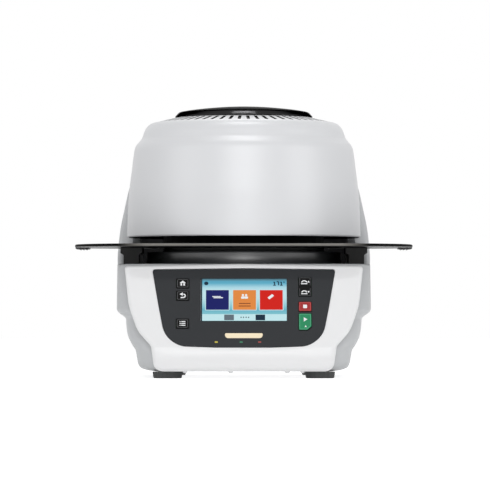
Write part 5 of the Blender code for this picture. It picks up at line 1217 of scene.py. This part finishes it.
right_side = np.vstack([
    arc_points(TRAY_HALF - FRONT_ARC, TRAY_FRONT + FRONT_ARC, FRONT_ARC, -90, 0, 20),
    arc_points(TRAY_HALF - REAR_ARC, TRAY_REAR - REAR_ARC, REAR_ARC, 0, 90, 12),
    [(BAY_RADIUS, TRAY_REAR)],
])
bay = arc_points(0.0, -30.0, BAY_RADIUS, 0, -180, 60)
tray_plan = np.vstack([right_side, bay, right_side[::-1] * (-1.0, 1.0)]) * MM
turn = np.linspace(-math.pi / 2, math.pi / 2, 9)
levels = [(EDGE_RADIUS * (1 - math.cos(a)), TRAY_MIDDLE + EDGE_RADIUS * math.sin(a)) for a in turn]
tray = stacked("tray_enamelled", tray_plan, levels, ENAMEL, "tray")
height = face_middles(tray)[:, 2]
is_edge = (height > TRAY_LOW + EDGE_SKIN_LOW) & (height < TRAY_TOP - EDGE_SKIN_TOP)
# The rounded edge faces get the painted sheen and painted shade.
second_finish(tray, EDGE_PAINTED_SHEEN, is_edge)
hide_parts("cooling_tray")
print("tray edge faces:", int(is_edge.sum()))

# %% Tray grips
GRIP_LEVELS = ((1.2, 150.9), (0.4, 151.1), (0.0, 151.7), (0.0, 155.2), (0.4, 155.8), (1.2, 155.95))
RIB_LEVELS = ((0.3, 150.2), (0.0, 150.5), (0.0, 151.6))
RIB_PLACES, RIB_WIDTH = (185.0, 188.6, 192.2), 1.6
GRIP_REACH, GRIP_RUN, RIB_RUN = (182.0, 198.3), (-80.0, -30.0), (-78.0, -32.0)


def end_block(side, near, far, front, rear, corner, steps):
    """A rounded rectangle at one end of the tray, in millimetres, as metres."""
    low, high = sorted((side * near, side * far))
    return rounded_plan([(high, front), (high, rear), (low, rear), (low, front)], corner, steps)


for side, word in SIDES:
    plan = end_block(side, *GRIP_REACH, *GRIP_RUN, 4.0, 5)
    stacked("tray_grip_" + word, plan, GRIP_LEVELS, BLACK_SATIN, "tray")
    for number, place in enumerate(RIB_PLACES):
        plan = end_block(side, place, place + RIB_WIDTH, *RIB_RUN, 0.7, 4)
        name = "tray_grip_rib_%s_%d" % (word, number)
        stacked(name, plan, RIB_LEVELS, BLACK_SATIN, "tray")
print("ribs under each grip:", len(RIB_PLACES))

# %% [markdown]
# ## The collar under the head
# A dark polished collar stands on the deck and carries the seat. Its wall flares
# towards the foot: the upright upper half mirrors the lamps in front, and the foot
# mirrors the black tray above, so it goes from grey at the top to black below.

# %% Collar
COLLAR = np.array([
    (113.2, 132.8), (117.5, 132.8), (117.6, 133.0), (117.2, 133.9), (116.6, 135.2), (116.0, 136.8),
    (115.5, 138.6), (115.2, 140.6), (115.05, 142.8), (115.0, 145.0), (115.0, 146.6), (114.6, 147.3),
    (113.8, 147.6), (71.0, 147.6), (71.0, 144.6), (113.0, 144.6),
]) * MM
collar = revolve("collar_polished", COLLAR, 160, COLLAR_BLACK, "base", centre=HEAD_CENTRE)
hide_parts("deck_collar")
print("collar width in mm:", round(collar.dimensions.x / MM, 1))

# %% [markdown]
# ## Screws under the base
# The bottom pan is held by small dome-headed screws. Each is one turned profile
# with its pole at the bottom. A few of them show under the front edge.

# %% Screws
SCREW = np.array([(0.0, 5.9), (1.6, 6.1), (2.6, 6.7), (3.0, 7.5), (3.0, 8.2), (0.0, 8.2)]) * MM
SCREW_PLACES = polygon(
    (-68.0, -190.0), (-15.0, -196.0), (50.0, -194.0), (68.0, -188.0), (-60.0, 150.0), (60.0, 150.0))
for number, place in enumerate(SCREW_PLACES):
    revolve("pan_screw_%d" % number, SCREW, 20, STEEL, "base", closed=False, centre=place)
print("screws under the pan:", len(SCREW_PLACES))

# %% [markdown]
# ## Finishes for the solids that stay
# The other solids have the right form already. They get their material, and those
# with sharp edges that show a small bevel, because a real edge always catches a
# line of light.

# %% Dress the CAD solids
DRESS = (
    (SIDE_GREY, ("deck_plate",)),
    (STEEL, (
        "base_pan", "lcd_module", "table_support_cup", "hinge_bracket_left", "hinge_bracket_right",
        "network_socket", "usb_socket", "hinge_arm_left", "hinge_arm_right", "hinge_pin",
    )),
    (GLASS, ("touch_screen",)),
    (BOARD, ("keypad_board", "control_board")),
    (RUBBER, ("base_seal_ring", "foot_front_left", "foot_front_right", "foot_rear_left", "foot_rear_right")),
    (FIBRE, ("table_insulation", "head_insulation")),
    (QUARTZ, ("firing_table", "muffle", "thermocouple")),
    (BRACKET_BLACK, ("tray_bracket_left", "tray_bracket_right")),
    (BRASS, ("hinge_bush_left", "hinge_bush_right", "vacuum_port")),
    (DARK_CAST, ("lift_gearbox", "lift_motor")),
    (CAST, ("power_supply",)),
    (BLACK_SATIN, (
        "vacuum_valve", "mains_inlet", "fuse_holder_left", "fuse_holder_right", "switch_frame",
        "pump_socket", "mains_rocker",
    )),
    (PAINTED, ("rear_panel",)),
    # Painted shade: the plate and the seal in the dark gap under the head are painted near-black.
    (SHADE_BLACK, ("head_base_plate", "head_sealing_ring")),
    (HOT_STEEL, ("heating_coil",)),
)
BEVELLED = (
    "rear_panel", "mains_inlet", "pump_socket", "switch_frame", "network_socket", "usb_socket",
    "hinge_arm_left", "hinge_arm_right", "hinge_bracket_left", "hinge_bracket_right",
)
for material, names in DRESS:
    for node in names:
        solid = nodes[node]
        if not solid.data.materials:
            solid.data.materials.append(material)
        for place in solid.material_slots:
            place.material = material
for node in BEVELLED:
    soft_edge(nodes[node], 0.25 * MM, 2, 40.0)
print("solids dressed:", sum(len(names) for material, names in DRESS))

# %% [markdown]
# ## Close the lesson
# The finished model must fill the same box as the solids, so how far it grows past
# that box on each side is printed.

# %% Sizes
seen_low, seen_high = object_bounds()
grown = np.array([np.subtract(cad_low, seen_low), np.subtract(seen_high, cad_high)]) / MM
print("box grew in mm, low and high side:", np.round(grown, 2).tolist())
